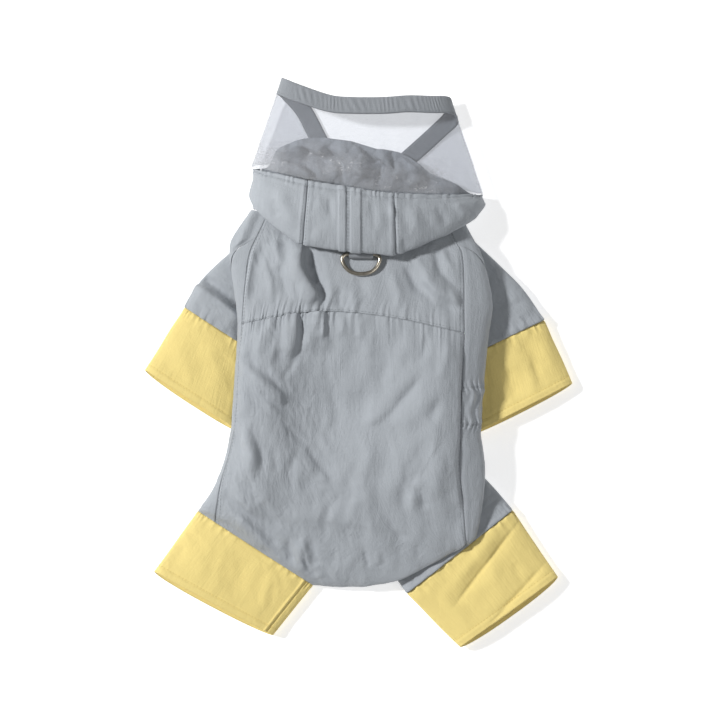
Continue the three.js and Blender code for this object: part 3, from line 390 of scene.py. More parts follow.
def crinkle(x, y, size, seed, stretch=1.8, turn=0.0):
    """Creased noise: soft facets with narrow ridges between them."""
    c = math.cos(turn)
    s = math.sin(turn)
    a = (x * c + y * s) / size
    b = (y * c - x * s) / (size * stretch)
    bend_a = noise(a * 0.45 + 7.3, b * 0.45 + 2.1, seed + 5)
    bend_b = noise(b * 0.5 - 3.7, a * 0.5 + 9.4, seed + 7)
    a = a + 1.1 * bend_a + 0.35 * noise(a * 1.7 + 1.3, b * 1.7 + 5.2, seed + 9)
    b = b + 1.1 * bend_b
    first = 1 - 2.2 * np.sqrt(noise(a * 0.83 + b * 0.55, b * 0.83 - a * 0.55, seed) ** 2 + 0.006)
    second = 1 - 2.2 * np.sqrt(noise(a * 1.9 - b * 0.7 + 3, b * 1.9 + a * 0.7, seed + 1) ** 2 + 0.01)
    return 0.68 * (first - 0.4) + 0.32 * (second - 0.4)


def fold_height(folds, x, y):
    """Height of soft folds that run along lines and fade at their ends."""
    total = np.zeros(np.broadcast(x, y).shape)
    for places, half, height in folds:
        nearest = np.full(total.shape, 1e9)
        fade = np.zeros(total.shape)
        lengths = [math.dist(p, q) for p, q in zip(places, places[1:])]
        whole = sum(lengths)
        before = 0.0
        for (x0, y0), (x1, y1), length in zip(places, places[1:], lengths):
            dx, dy = (x1 - x0) / length, (y1 - y0) / length
            along = (x - x0) * dx + (y - y0) * dy
            held = np.clip(along, 0, length)
            away = np.hypot(x - x0 - held * dx, y - y0 - held * dy)
            run = before + held
            ends = ease(run, -0.15 * whole, 0.3 * whole) * (1 - ease(run, 0.7 * whole, 1.1 * whole))
            fade = np.where(away < nearest, ends, fade)
            nearest = np.minimum(nearest, away)
            before += length
        total += height * fade * np.exp(-((nearest / half) ** 2))
    return total


def rounded_line(places):
    """The line with its corners cut twice."""
    for _ in range(2):
        cut = [places[0]]
        for (x0, y0), (x1, y1) in zip(places, places[1:]):
            cut.append((0.75 * x0 + 0.25 * x1, 0.75 * y0 + 0.25 * y1))
            cut.append((0.25 * x0 + 0.75 * x1, 0.25 * y0 + 0.75 * y1))
        places = cut + [places[-1]]
    return places


def draped_height(folds, x, y):
    """Height of folds that stand up: gentle on the right of their line, steep on its left into a hollow."""
    total = np.zeros(np.broadcast(x, y).shape)
    for corners, gentle, steep, height in folds:
        places = rounded_line(corners)
        nearest = np.full(total.shape, 1e9)
        fade = np.zeros(total.shape)
        side = np.zeros(total.shape)
        lengths = [math.dist(p, q) for p, q in zip(places, places[1:])]
        whole = sum(lengths)
        before = 0.0
        for (x0, y0), (x1, y1), length in zip(places, places[1:], lengths):
            dx, dy = (x1 - x0) / length, (y1 - y0) / length
            held = np.clip((x - x0) * dx + (y - y0) * dy, 0, length)
            away = np.hypot(x - x0 - held * dx, y - y0 - held * dy)
            left = dx * (y - y0) - dy * (x - x0)
            run = before + held
            ends = ease(run, 0, 0.25 * whole) * (1 - ease(run, 0.75 * whole, whole))
            closer = away < nearest
            fade = np.where(closer, ends, fade)
            side = np.where(closer, np.sign(left), side)
            nearest = np.minimum(nearest, away)
            before += length
        stands = np.exp(-((nearest / np.where(side > 0, steep, gentle)) ** 2))
        hollow = np.where(side > 0, 0.45 * bump(nearest, 2.4 * steep, 1.3 * steep), 0.0)
        total += height * fade * (stands - hollow)
    return total


def sag(x, y):
    """The back's broad hollow, where the coat has settled."""
    (x0, y0), (x1, y1), half, depth = SAG
    length = math.hypot(x1 - x0, y1 - y0)
    dx, dy = (x1 - x0) / length, (y1 - y0) / length
    along = (x - x0) * dx + (y - y0) * dy
    beside = (x - x0) * dy - (y - y0) * dx
    fade = ease(along, -half, half) * (1 - ease(along, length - half, length + half))
    return -depth * fade * np.exp(-((beside / half) ** 2))


# The trunk's surface. a runs from 0 on the left edge to 1 on the right edge, and the next quarter
# on either side rounds under to the floor.
def trunk_width(s):
    xl, xr, yl, yr = (smooth(TRUNK, name, s) for name in ("xl", "xr", "yl", "yr"))
    return np.hypot(xr - xl, yr - yl)


def trunk(s, a):
    s, a = np.broadcast_arrays(np.asarray(s, dtype=float), np.asarray(a, dtype=float))
    xl, yl, zl = (smooth(TRUNK, name, s) for name in ("xl", "yl", "zl"))
    xr, yr, zr = (smooth(TRUNK, name, s) for name in ("xr", "yr", "zr"))
    angle = np.pi * np.clip(a, 0, 1)
    side = -np.sign(np.cos(angle)) * np.abs(np.cos(angle)) ** (2 / ROUNDNESS)
    lift = np.maximum(np.sin(angle), 0) ** (2 / ROUNDNESS)
    t = 0.5 + 0.5 * side
    edge = mix(zl, zr, t)
    x = mix(xl, xr, t)
    y = mix(yl, yr, t)
    z = edge + (smooth(TRUNK, "crest", s) - edge) * lift
    z = z + lift * (fold_height(BROAD_CREASES, x, y) + sag(x, y))
    under = np.maximum(np.maximum(-a, a - 1), 0) / 0.25 * (np.pi / 2)
    inwards = EDGE_TUCK * (1 - np.cos(under)) * np.sign(0.5 - a) / trunk_width(s)
    x = x + inwards * (xr - xl)
    y = y + inwards * (yr - yl)
    z = z * (1 - np.sin(under))
    return point(x, y, z)


def across_at(s, inset):
    side = 1 - 2 * np.maximum(inset, 0) / trunk_width(s)
    return np.arccos(np.clip(side, 0, 1) ** (ROUNDNESS / 2)) / np.pi


def left_seam(s, shift):
    return across_at(s, smooth(TRUNK, "seam_l", s) + shift)


def right_seam(s, shift):
    return 1 - across_at(s, np.maximum(smooth(TRUNK, "seam_r", s), 0) - shift)


def back_right(s):
    return right_seam(s, -HALF_GAP) + 0.24 * ease(s, LEG_CLOSES_FROM, LEG_CLOSES_FROM + 1.5)


def flank_limit(s, name, height):
    drop = np.clip(1 - height / smooth(TRUNK, name, s), 0, 1)
    return 0.25 * np.arcsin(drop) / (np.pi / 2)


def yoke_station(u):
    low = np.full(np.shape(u), 3.0)
    high = np.full(np.shape(u), 6.0)
    for _ in range(26):
        s = (low + high) / 2
        p = trunk(s, mix(left_seam(s, 0), right_seam(s, 0), u))
        above = p[..., 1] > y_at(YOKE_SEAM, p[..., 0])
        low = np.where(above, s, low)
        high = np.where(above, high, s)
    return (low + high) / 2


def trunk_top(x, y):
    """Height of the trunk's top at one place."""
    stations = np.linspace(0, LAST_STATION, 500)[:, None]
    across = np.linspace(0.02, 0.98, 300)[None, :]
    p = trunk(stations, across)
    nearest = np.argmin((p[..., 0] - x) ** 2 + (p[..., 1] - y) ** 2)
    return float(p.reshape(-1, 3)[nearest, 2])


def flat_tube(rings, s, a):
    """A flattened tube on the floor: over its top from a = 0 to 0.5, and back under it."""
    outer_x, outer_y, inner_x, inner_y, height = (smooth(rings, name, s) for name in LIMB_COLUMNS.split())
    edge = height * 0.45
    angle = 2 * np.pi * a
    side = -np.sign(np.cos(angle)) * np.abs(np.cos(angle)) ** (2 / ROUNDNESS)
    lift = np.abs(np.sin(angle)) ** (2 / ROUNDNESS)
    t = 0.5 + 0.5 * side
    x = mix(outer_x, inner_x, t)
    y = mix(outer_y, inner_y, t)
    folds = next(listed for limb_rings, listed in LIMB_FOLDS if limb_rings is rings)
    top = edge + (height - edge + fold_height(folds, x, y)) * lift
    under = np.maximum(edge * (1 - 1.2 * lift), 0)
    return point(x, y, np.where(a < 0.5, top, under))


def hood_crown(s, v):
    """Hood crown: from the front rim over the crown to the back fold, and under to the neck."""
    s, v = np.broadcast_arrays(np.asarray(s, dtype=float), np.asarray(v, dtype=float))
    rim = point(*(smooth(HOOD, name, s) for name in ("xr", "yr", "zr")))
    fold = point(*(smooth(HOOD, name, s) for name in ("xf", "yf", "zf")))
    neck = trunk(-0.05, mix(-0.2, 1.2, s / HOOD_SPAN))
    arch = np.sin(np.pi * np.clip(s, 0, HOOD_SPAN) / HOOD_SPAN)
    up = point(0 * arch, 0 * arch, arch)
    path = np.stack([
        rim,
        mix(rim, fold, 0.33) + HOOD_BULGE * up,
        mix(rim, fold, 0.72) + HOOD_BULGE * up,
        fold + 0.2 * HOOD_BULGE * up,
        mix(fold, neck, 0.25) - 1.5 * up,
        neck,
    ])
    along = v * (len(path) - 1)
    i = np.clip(np.floor(along).astype(int), 0, len(path) - 2)
    f = (along - i)[..., None]

    def pick(k):
        return np.take_along_axis(path, k[None, ..., None], axis=0)[0]

    here = pick(i)
    after_here = pick(i + 1)
    before = np.where((i > 0)[..., None], pick(np.maximum(i - 1, 0)), 2 * here - after_here)
    inside = (i < len(path) - 2)[..., None]
    after = np.where(inside, pick(np.minimum(i + 2, len(path) - 1)), 2 * after_here - here)
    cubic = -before + 3 * here - 3 * after_here + after
    square = 2 * before - 5 * here + 4 * after_here - after
    return here + 0.5 * f * (after_here - before + f * (square + f * cubic))


def throat(u, v):
    """Throat side of the hood, on the floor at the neck and crumpled up at its front edge."""
    left = hood_crown(0, 1 - v)
    right = hood_crown(HOOD_SPAN, 1 - v)
    inset = 1.3 + 3 * 0.3
    x = mix(left[..., 0] + inset, right[..., 0] - inset, u)
    y = mix(left[..., 1], right[..., 1], u)
    y = y + np.maximum(y_at(THROAT_EDGE, x) - y, 0) * v * v
    middle = ease(u, 0, 0.09) * (1 - ease(u, 0.91, 1))
    rise = ease(v, 0.15, 0.6) * middle
    crumples = fold_height(THROAT_FOLDS, x, y)
    return point(x, y, 1.3 + rise * (4.6 + crumples))


def visor_surface(s, v):
    """Visor: from the hood's rim to the front edge."""
    s, v = np.broadcast_arrays(np.asarray(s, dtype=float), np.asarray(v, dtype=float))
    arch = np.sin(np.pi * ease(s, 2, 13))
    z = np.maximum(mix(smooth(VISOR, "zr", s), smooth(VISOR, "ze", s), v), 0)
    return point(
        mix(smooth(VISOR, "xr", s), smooth(VISOR, "xe", s), v),
        mix(smooth(VISOR, "yr", s), smooth(VISOR, "ye", s), v),
        z + VISOR_BULGE * arch * np.sin(np.pi * v),
    )


def trim_start(s):
    edge = visor_surface(s, 1)
    along = visor_surface(s + 0.02, 1) - visor_surface(s - 0.02, 1)
    along = along / np.linalg.norm(along, axis=-1, keepdims=True)
    reach = np.linalg.norm(np.cross(visor_surface(s, 0) - edge, along), axis=-1)
    return 1 - TRIM_WIDTH / reach


# The tables give places from the photograph's middle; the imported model's origin is the middle of
# the footprint, so the belly panel and the ring's loop say how far that is.
loop_low, loop_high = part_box("ring_loop")
belly_low, belly_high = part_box("belly_panel")
SHIFT = np.array([
    (loop_low.x + loop_high.x) / 2 / MM - RING_X,
    belly_high.y / MM - BELLY_TOP_Y,
    0.0,
])


class Cloth:
    """A thin closed wall on a surface, with its outer points kept for what is sewn on it."""

    def __init__(
        self, surface, across, along, thickness, folds=None, relief=None, ring=False, mirrored=False,
    ):
        self.us = np.linspace(0, 1, 2 * across + 1)
        self.vs = np.linspace(0, 1, 2 * along + 1)
        self.ring = ring
        u, v = np.meshgrid(self.us, self.vs)
        base = surface(u, v)
        normal = self.normals(base, mirrored)
        if folds:
            base = base + normal * folds(u, v, base)[..., None]
            normal = self.normals(base, mirrored)
        outer = base
        if relief:
            outer = base + normal * relief(u, v, base)[..., None]
        self.outer = outer
        self.normal = self.normals(outer, mirrored)
        self.inner = (base - normal * thickness)[::2, ::2]
        self.base = base

    def normals(self, p, mirrored):
        if self.ring:
            wrapped = np.concatenate([p[:, -2:-1], p, p[:, 1:2]], axis=1)
            across = wrapped[:, 2:] - wrapped[:, :-2]
        else:
            across = np.gradient(p, axis=1)
        along = np.gradient(p, axis=0)
        n = np.cross(along, across) * (-1 if mirrored else 1)
        return n / np.maximum(np.linalg.norm(n, axis=-1, keepdims=True), 1e-9)

    def cut(self):
        """Width, length and area of the flat cut, in metres."""
        width = np.linalg.norm(np.diff(self.base, axis=1), axis=-1).sum(axis=1).max()
        length = np.linalg.norm(np.diff(self.base, axis=0), axis=-1).sum(axis=0).max()
        a = self.base[1:, 1:] - self.base[:-1, :-1]
        b = self.base[1:, :-1] - self.base[:-1, 1:]
        area = np.linalg.norm(np.cross(a, b), axis=-1).sum() / 2
        return width * MM, length * MM, area * MM * MM

    def at(self, u, v, lift=0.0):
        """Places on the outer face, lifted off it, in millimetres."""
        x = np.clip(np.asarray(u) * (len(self.us) - 1), 0, len(self.us) - 1.001)
        y = np.clip(np.asarray(v) * (len(self.vs) - 1), 0, len(self.vs) - 1.001)
        i = x.astype(int)
        j = y.astype(int)
        fx = (x - i)[..., None]
        fy = (y - j)[..., None]

        def blend(grid):
            return mix(mix(grid[j, i], grid[j, i + 1], fx), mix(grid[j + 1, i], grid[j + 1, i + 1], fx), fy)

        return blend(self.outer) + lift * blend(self.normal)

    def mesh(self, name):
        """The wall as a mesh with a UV map in metres along the cloth."""
        outer = self.outer
        inner = self.inner
        steps_u = np.linalg.norm(np.diff(outer, axis=1), axis=-1).mean(axis=0)
        steps_v = np.linalg.norm(np.diff(outer, axis=0), axis=-1).mean(axis=1)
        lay_u, lay_v = np.meshgrid(np.r_[0, np.cumsum(steps_u)], np.r_[0, np.cumsum(steps_v)])
        lay = np.stack([lay_u, lay_v], axis=-1)
        inner_lay = lay[::2, ::2]
        if self.ring:
            outer = outer[:, :-1]
            inner = inner[:, :-1]
        rows_o, cols_o = outer.shape[:2]
        rows_i, cols_i = inner.shape[:2]
        first = rows_o * cols_o

        def numbers(rows, cols, start):
            grid = start + np.arange(rows * cols).reshape(rows, cols)
            return np.concatenate([grid, grid[:, :1]], axis=1) if self.ring else grid

        go = numbers(rows_o, cols_o, 0)
        gi = numbers(rows_i, cols_i, first)

        def quads(g, turned):
            faces = np.stack([g[:-1, :-1], g[1:, :-1], g[1:, 1:], g[:-1, 1:]], axis=-1).reshape(-1, 4)
            return faces[:, ::-1] if turned else faces

        def border(line_o, line_i, turned):
            start, middle, end = line_o[:-2:2], line_o[1:-1:2], line_o[2::2]
            near, far = line_i[:-1], line_i[1:]
            faces = np.concatenate([
                np.stack([start, middle, near], axis=-1),
                np.stack([middle, far, near], axis=-1),
                np.stack([middle, end, far], axis=-1),
            ])
            return faces[:, ::-1] if turned else faces

        rims = [border(go[0], gi[0], False), border(go[-1], gi[-1], True)]
        if not self.ring:
            rims += [border(go[:, 0], gi[:, 0], True), border(go[:, -1], gi[:, -1], False)]
        walls = np.concatenate([quads(go, False), quads(gi, True)])
        rims = np.concatenate(rims)
        points = np.concatenate([outer.reshape(-1, 3), inner.reshape(-1, 3)])
        points = (points + SHIFT) * MM
        points[:, 2] = np.maximum(points[:, 2], 0.0)
        corners = [walls.reshape(-1), rims.reshape(-1)]
        sizes = np.r_[np.full(len(walls), 4), np.full(len(rims), 3)]
        loops = np.concatenate(corners)
        starts = np.r_[0, np.cumsum(sizes)[:-1]]
        a, b, c = (points[loops[starts + k]] for k in range(3))
        volume = np.einsum("ij,ij->i", a, np.cross(b, c)).sum()
        d = points[loops[np.minimum(starts + 3, len(loops) - 1)]]
        volume += np.einsum("ij,ij->i", a, np.cross(c, d))[sizes == 4].sum()
        mesh = bpy.data.meshes.new(name)
        mesh.vertices.add(len(points))
        mesh.vertices.foreach_set("co", points.reshape(-1))
        mesh.loops.add(len(loops))
        mesh.loops.foreach_set("vertex_index", loops)
        mesh.polygons.add(len(sizes))
        mesh.polygons.foreach_set("loop_start", starts)
        flat = np.r_[np.zeros(len(walls), dtype=bool), np.ones(len(rims), dtype=bool)]
        mesh.update(calc_edges=True)
        mesh.polygons.foreach_set("use_smooth", ~flat)
        wrap = np.zeros((rows_o * cols_o + rows_i * cols_i, 2))
        wrap[:first] = lay[:, :cols_o].reshape(-1, 2)
        wrap[first:] = inner_lay[:, :cols_i].reshape(-1, 2)
        uv = mesh.uv_layers.new(name="cloth")
        uv.data.foreach_set("uv", (wrap[loops] * MM).reshape(-1))
        if volume < 0:
            mesh.flip_normals()
        mesh.validate()
        return mesh


made = {}


def show(name, mesh, material, body="coat"):
    """A finished piece: its mesh, its material and the body that carries it."""
    piece = bpy.data.objects.new(name, mesh)
    bpy.context.scene.collection.objects.link(piece)
    mesh.materials.clear()
    mesh.materials.append(material)
    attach(piece, body)
    return piece


def lay(name, node, slot, material, cloths, rests_on=("floor",), held="laid", with_pieces=()):
    """Makes one cloth piece of one or two walls, in the place of its CAD node; the size of its cut is worked
    out but not kept.
    """
    cloths = cloths if isinstance(cloths, list) else [cloths]
    meshes = [cloth.mesh(name) for cloth in cloths]
    mesh = meshes[0]
    if len(meshes) > 1:
        mesh = joined(name, meshes)
    piece = show(name, mesh, material)
    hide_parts(node)
    sizes = [cloth.cut() for cloth in cloths]
    width = max(size[0] for size in sizes)
    length = sum(size[1] for size in sizes)
    area = sum(size[2] for size in sizes)
    area = min(area, 0.999 * width * length)
    list(rests_on)
    list(with_pieces)
    made[node] = cloths
    return piece


def joined(name, meshes):
    """One mesh of several, each with the same UV map."""
    bm = bmesh.new()
    for mesh in meshes:
        bm.from_mesh(mesh)
    whole = bpy.data.meshes.new(name)
    bm.to_mesh(whole)
    bm.free()
    for mesh in meshes:
        bpy.data.meshes.remove(mesh)
    return whole


# Materials
class Value:
    """A shader socket that takes part in sums."""

    def __init__(self, finish, socket):
        self.finish = finish
        self.socket = socket

    def _sum(self, operation, first, second=None):
        inputs = {0: first} if second is None else {0: first, 1: second}
        return self.finish.add("ShaderNodeMath", {"operation": operation}, inputs)

    def __add__(self, other):
        return self._sum("ADD", self, other)

    def __radd__(self, other):
        return self._sum("ADD", other, self)

    def __sub__(self, other):
        return self._sum("SUBTRACT", self, other)

    def __rsub__(self, other):
        return self._sum("SUBTRACT", other, self)

    def __mul__(self, other):
        return self._sum("MULTIPLY", self, other)

    def __rmul__(self, other):
        return self._sum("MULTIPLY", other, self)

    def __truediv__(self, other):
        return self._sum("DIVIDE", self, other)

    def __pow__(self, other):
        return self._sum("POWER", self, other)

    def sine(self):
        return self._sum("SINE", self)

    def size(self):
        return self._sum("ABSOLUTE", self)

    def clamped(self):
        return self.finish.add("ShaderNodeClamp", {}, {0: self})


class Finish:
    """A material that is built node by node."""

    def __init__(self, name):
        self.material = bpy.data.materials.new(name + "_finish")
        self.material.use_nodes = True
        self.tree = self.material.node_tree
        self.tree.nodes.clear()
        self.output = self.tree.nodes.new("ShaderNodeOutputMaterial")

    def add(self, kind, settings, inputs, output=0):
        """Adds a node: its settings first, then the values or links of its sockets."""
        node = self.tree.nodes.new(kind)
        for key, value in settings.items():
            if key == "stops":
                self._stops(node, value)
            else:
                setattr(node, key, value)
        for key, value in inputs.items():
            socket = node.inputs[key]
            if isinstance(value, Value):
                self.tree.links.new(value.socket, socket)
            else:
                socket.default_value = value
        return Value(self, node.outputs[output])

    def _stops(self, node, stops):
        ramp = node.color_ramp
        ramp.elements[0].position, ramp.elements[0].color = stops[0]
        ramp.elements[1].position, ramp.elements[1].color = stops[-1]
        for place, colour in stops[1:-1]:
            ramp.elements.new(place).color = colour

    def object_place(self):
        return self.add("ShaderNodeTexCoord", {}, {}, "Object")

    def cloth_place(self):
        return self.add("ShaderNodeUVMap", {"uv_map": "cloth"}, {})

    def stretched(self, place, scale):
        return self.add("ShaderNodeMapping", {}, {"Vector": place, "Scale": scale})

    def cloud(self, place, scale, detail=4.0, roughness=0.55, distortion=0.0):
        inputs = {
            "Vector": place, "Scale": scale, "Detail": detail, "Roughness": roughness,
            "Distortion": distortion,
        }
        return self.add("ShaderNodeTexNoise", {}, inputs, 0)

    def colour_mix(self, share, first, second, kind="MIX"):
        settings = {"data_type": "RGBA", "blend_type": kind}
        return self.add("ShaderNodeMix", settings, {0: share, 6: first, 7: second}, 2)

    def between(self, value, low, high):
        """A number from low to high as the value goes from 0 to 1."""
        return value * (high - low) + low

    def raised(self, height, distance, strength=1.0, normal=None):
        inputs = {"Height": height, "Distance": distance, "Strength": strength}
        if normal is not None:
            inputs["Normal"] = normal
        return self.add("ShaderNodeBump", {}, inputs)

    def finish(self, **inputs):
        """The surface shader, with constants on its own sockets."""
        names = {key.replace("_", " ").title(): value for key, value in inputs.items()}
        names = {key.replace("Ior", "IOR"): value for key, value in names.items()}
        shader = self.add("ShaderNodeBsdfPrincipled", {}, names)
        self.tree.links.new(shader.socket, self.output.inputs["Surface"])
        return self.material


def rgb(colour, factor=1.0):
    return (*(min(c * factor, 1.0) for c in colour), 1.0)


def woven(name, colour, thread=0.00032, crinkled=1.0, sheen=0.22, rough=0.7):
    """Fine plain-woven cloth: threads, uneven slubs and small crinkles."""
    f = Finish(name)
    place = f.object_place()
    cloth = f.cloth_place()
    turns = 2 * math.pi / thread
    parts = f.add("ShaderNodeSeparateXYZ", {}, {0: cloth})
    warp_way = Value(f, parts.socket)
    weft_way = Value(f, parts.socket.node.outputs[1])
    warp = (warp_way * turns).sine()
    weft = (weft_way * turns).sine()
    weave = warp * weft * 0.5 + 0.5
    slub_warp = f.cloud(f.stretched(cloth, (760, 55, 1)), 1.0, 4.0, 0.62)
    slub_weft = f.cloud(f.stretched(cloth, (70, 900, 1)), 1.0, 4.0, 0.62)
    slub = slub_warp * 0.68 + slub_weft * 0.32
    fine = f.cloud(f.stretched(place, (1.0, 0.62, 1.0)), 420, 5.0, 0.62, 0.6)
    fine_creases = (fine - 0.5).size()
    broad = f.cloud(f.stretched(place, (1.0, 0.55, 1.0)), 120, 4.0, 0.55, 0.9)
    broad_creases = (broad - 0.5).size()
    tone = f.cloud(place, 38, 3.0, 0.5)
    shade = f.colour_mix(tone, rgb(colour, 0.94), rgb(colour, 1.06))
    shade = f.colour_mix((slub * 1.6 - 0.3).clamped(), rgb(colour, 0.9), shade)
    shade = f.colour_mix((weave * 0.12).clamped(), shade, rgb(colour, 1.15))
    normal = f.raised(broad_creases, 0.0013 * crinkled, 0.6)
    normal = f.raised(fine_creases, 0.0007 * crinkled, 0.6, normal)
    normal = f.raised(slub, 0.00065, 0.8, normal)
    normal = f.raised(weave, 0.00006, 0.5, normal)
    roughness = f.between(slub, rough - 0.07, rough + 0.1)
    return f.finish(
        base_color=shade, roughness=roughness, normal=normal,
        sheen_weight=sheen, sheen_roughness=0.45, specular_ior_level=0.32,
    )


def clear_film(name, tint, haze):
    """Soft clear plastic film: tinted, a little hazy, with faint handling marks and gloss, and near the
    hood's rim painted glints and a painted milky lightening of the shaded throat behind it.
    """
    f = Finish(name)
    place = f.object_place()
    ripple = f.cloud(f.stretched(place, (1.0, 0.5, 1.0)), 40, 3.0, 0.5, 0.8)
    marks = f.cloud(f.stretched(place, (0.7, 1.3, 1.0)), 340, 4.0, 0.62, 1.4)
    cloudy = f.cloud(place, 24, 3.0, 0.5)
    share = (cloudy * 0.5 + (marks - 0.5).clamped() * 1.4).clamped()
    grazing = f.add("ShaderNodeLayerWeight", {}, {"Blend": 0.3}, 1)
    normal = f.raised(ripple, 0.004, 0.7)
    normal = f.raised(marks, 0.0014, 0.8, normal)
    plastic = f.add("ShaderNodeBsdfPrincipled", {}, {
        "Base Color": rgb(tint, 0.8), "Roughness": f.between((marks * 4 - 2.3).clamped(), 0.48, 0.14),
        "Normal": normal, "IOR": 1.5,
    })
    clear = f.add("ShaderNodeBsdfTransparent", {}, {"Color": rgb(tint)})
    # Painted glints and a painted milky lightening of the shaded throat gather just above the hood's rim,
    # which slopes down to the right, and fade before the right flap.
    split = f.add("ShaderNodeSeparateXYZ", {}, {0: place}).socket.node.outputs
    across, along = Value(f, split[0]), Value(f, split[1])
    near_hood = ((0.162 - along - across * 0.11) * 50).clamped() * ((0.08 - across) * 30).clamped()
    # Painted glints: spots of opaque milky plastic, with the plastic's own gloss, that stand in for sparkles
    # of crumpled film.
    glints = (marks * 7 - 4.1).clamped() * (cloudy * 5 - 2.2).clamped() * 0.8
    # A painted milky lightening, in cloudy patches, over the shaded throat behind the film.
    painted_throat_lightening = (cloudy * 3 - 0.9).clamped() * 0.12
    hazy = f.between(share, haze - 0.03, haze + 0.07)
    body = (hazy + (glints + painted_throat_lightening) * near_hood + (grazing ** 2.0) * 0.4).clamped()
    surface = f.add("ShaderNodeMixShader", {}, {0: body, 1: clear, 2: plastic})
    f.tree.links.new(surface.socket, f.output.inputs["Surface"])
    return f.material


def plated_metal(name, colour):
    """Polished plated wire with fine turning marks and duller spots."""
    f = Finish(name)
    place = f.object_place()
    wear = f.cloud(place, 320, 5.0, 0.6)
    brushed = f.cloud(f.stretched(place, (1.0, 6.0, 6.0)), 700, 2.0, 0.5)
    shade = f.colour_mix((wear * 1.4 - 0.35).clamped(), rgb(colour, 0.72), rgb(colour, 1.12))
    return f.finish(
        base_color=shade, metallic=1.0, roughness=f.between(wear, 0.2, 0.4),
        normal=f.raised(brushed, 0.00004, 0.4),
    )


def sewing_thread(name, colour):
    """Twisted polyester thread."""
    f = Finish(name)
    place = f.object_place()
    fuzz = f.cloud(place, 2400, 3.0, 0.6)
    shade = f.colour_mix(fuzz, rgb(colour, 0.85), rgb(colour, 1.1))
    return f.finish(
        base_color=shade, roughness=f.between(fuzz, 0.55, 0.75), normal=f.raised(fuzz, 0.0001, 0.6),
        sheen_weight=0.2, sheen_roughness=0.5,
    )


def pale_floor(name, colour):
    f = Finish(name)
    place = f.object_place()
    speck = f.cloud(place, 30, 3.0, 0.5)
    shade = f.colour_mix(speck, rgb(colour, 0.995), rgb(colour, 1.0))
    return f.finish(
        base_color=shade, roughness=f.between(speck, 0.88, 0.92), specular_ior_level=0.1,
        emission_color=rgb(colour), emission_strength=0.62,
    )


def finish_named(name):
    return bpy.data.materials[name + "_finish"]


# Stitching
def stitch_tree():
    """Geometry Nodes: small stitches at an even pitch along lines."""
    tree = bpy.data.node_groups.new("stitches_along", "GeometryNodeTree")
    sockets = tree.interface
    sockets.new_socket("Geometry", in_out="INPUT", socket_type="NodeSocketGeometry")
    for name in ("Pitch", "Stitch length", "Thread radius"):
        sockets.new_socket(name, in_out="INPUT", socket_type="NodeSocketFloat")
    sockets.new_socket("Thread", in_out="INPUT", socket_type="NodeSocketMaterial")
    sockets.new_socket("Geometry", in_out="OUTPUT", socket_type="NodeSocketGeometry")
    nodes, links = tree.nodes, tree.links
    into = nodes.new("NodeGroupInput")
    out = nodes.new("NodeGroupOutput")
    curve = nodes.new("GeometryNodeMeshToCurve")
    even = nodes.new("GeometryNodeResampleCurve")
    even.mode = "LENGTH"
    thread = nodes.new("GeometryNodeMeshUVSphere")
    thread.inputs["Segments"].default_value = 6
    thread.inputs["Rings"].default_value = 4
    thread.inputs["Radius"].default_value = 1.0
    shape = nodes.new("ShaderNodeCombineXYZ")
    half = nodes.new("ShaderNodeMath")
    half.operation = "MULTIPLY"
    half.inputs[1].default_value = 0.5
    sized = nodes.new("GeometryNodeTransform")
    tangent = nodes.new("GeometryNodeInputTangent")
    turn = nodes.new("FunctionNodeAlignRotationToVector")
    turn.axis = "X"
    place = nodes.new("GeometryNodeInstanceOnPoints")
    real = nodes.new("GeometryNodeRealizeInstances")
    paint = nodes.new("GeometryNodeSetMaterial")
    smoothed = nodes.new("GeometryNodeSetShadeSmooth")
    links.new(into.outputs["Geometry"], curve.inputs[0])
    links.new(curve.outputs[0], even.inputs["Curve"])
    links.new(into.outputs["Pitch"], even.inputs["Length"])
    links.new(into.outputs["Stitch length"], half.inputs[0])
    links.new(half.outputs[0], shape.inputs[0])
    links.new(into.outputs["Thread radius"], shape.inputs[1])
    links.new(into.outputs["Thread radius"], shape.inputs[2])
    links.new(thread.outputs["Mesh"], sized.inputs["Geometry"])
    links.new(shape.outputs[0], sized.inputs["Scale"])
    links.new(even.outputs[0], place.inputs["Points"])
    links.new(sized.outputs[0], place.inputs["Instance"])
    links.new(tangent.outputs[0], turn.inputs["Vector"])
    links.new(turn.outputs[0], place.inputs["Rotation"])
    links.new(place.outputs[0], real.inputs[0])
    links.new(real.outputs[0], smoothed.inputs[0])
    links.new(smoothed.outputs[0], paint.inputs["Geometry"])
    links.new(into.outputs["Thread"], paint.inputs["Material"])
    links.new(paint.outputs[0], out.inputs[0])
    return tree


def sew(name, lines, thread, sizes, body="coat"):
    """One piece of stitches along several lines of places, in millimetres."""
    points = np.concatenate(lines)
    points[:, 2] = np.maximum(points[:, 2], STITCH_FLOOR)
    edges = []
    start = 0
    for line in lines:
        edges += [(start + k, start + k + 1) for k in range(len(line) - 1)]
        start += len(line)
    path = bpy.data.meshes.new(name + "_path")
    path.from_pydata(((points + SHIFT) * MM).tolist(), edges, [])
    guide = bpy.data.objects.new(name + "_guide", path)
    bpy.context.scene.collection.objects.link(guide)
    tree = bpy.data.node_groups.get("stitches_along") or stitch_tree()
    modifier = guide.modifiers.new("stitches", "NODES")
    modifier.node_group = tree
    values = {
        "Pitch": sizes.stitch_pitch,
        "Stitch length": sizes.stitch_length,
        "Thread radius": sizes.thread_radius,
        "Thread": thread,
    }
    for item in tree.interface.items_tree:
        if item.item_type == "SOCKET" and item.in_out == "INPUT" and item.name in values:
            modifier[item.identifier] = values[item.name]
    view = bpy.context.evaluated_depsgraph_get()
    mesh = bpy.data.meshes.new_from_object(guide.evaluated_get(view))
    guide.modifiers.remove(modifier)
    bpy.data.objects.remove(guide)
    piece = show(name, mesh, thread, body)
    return piece


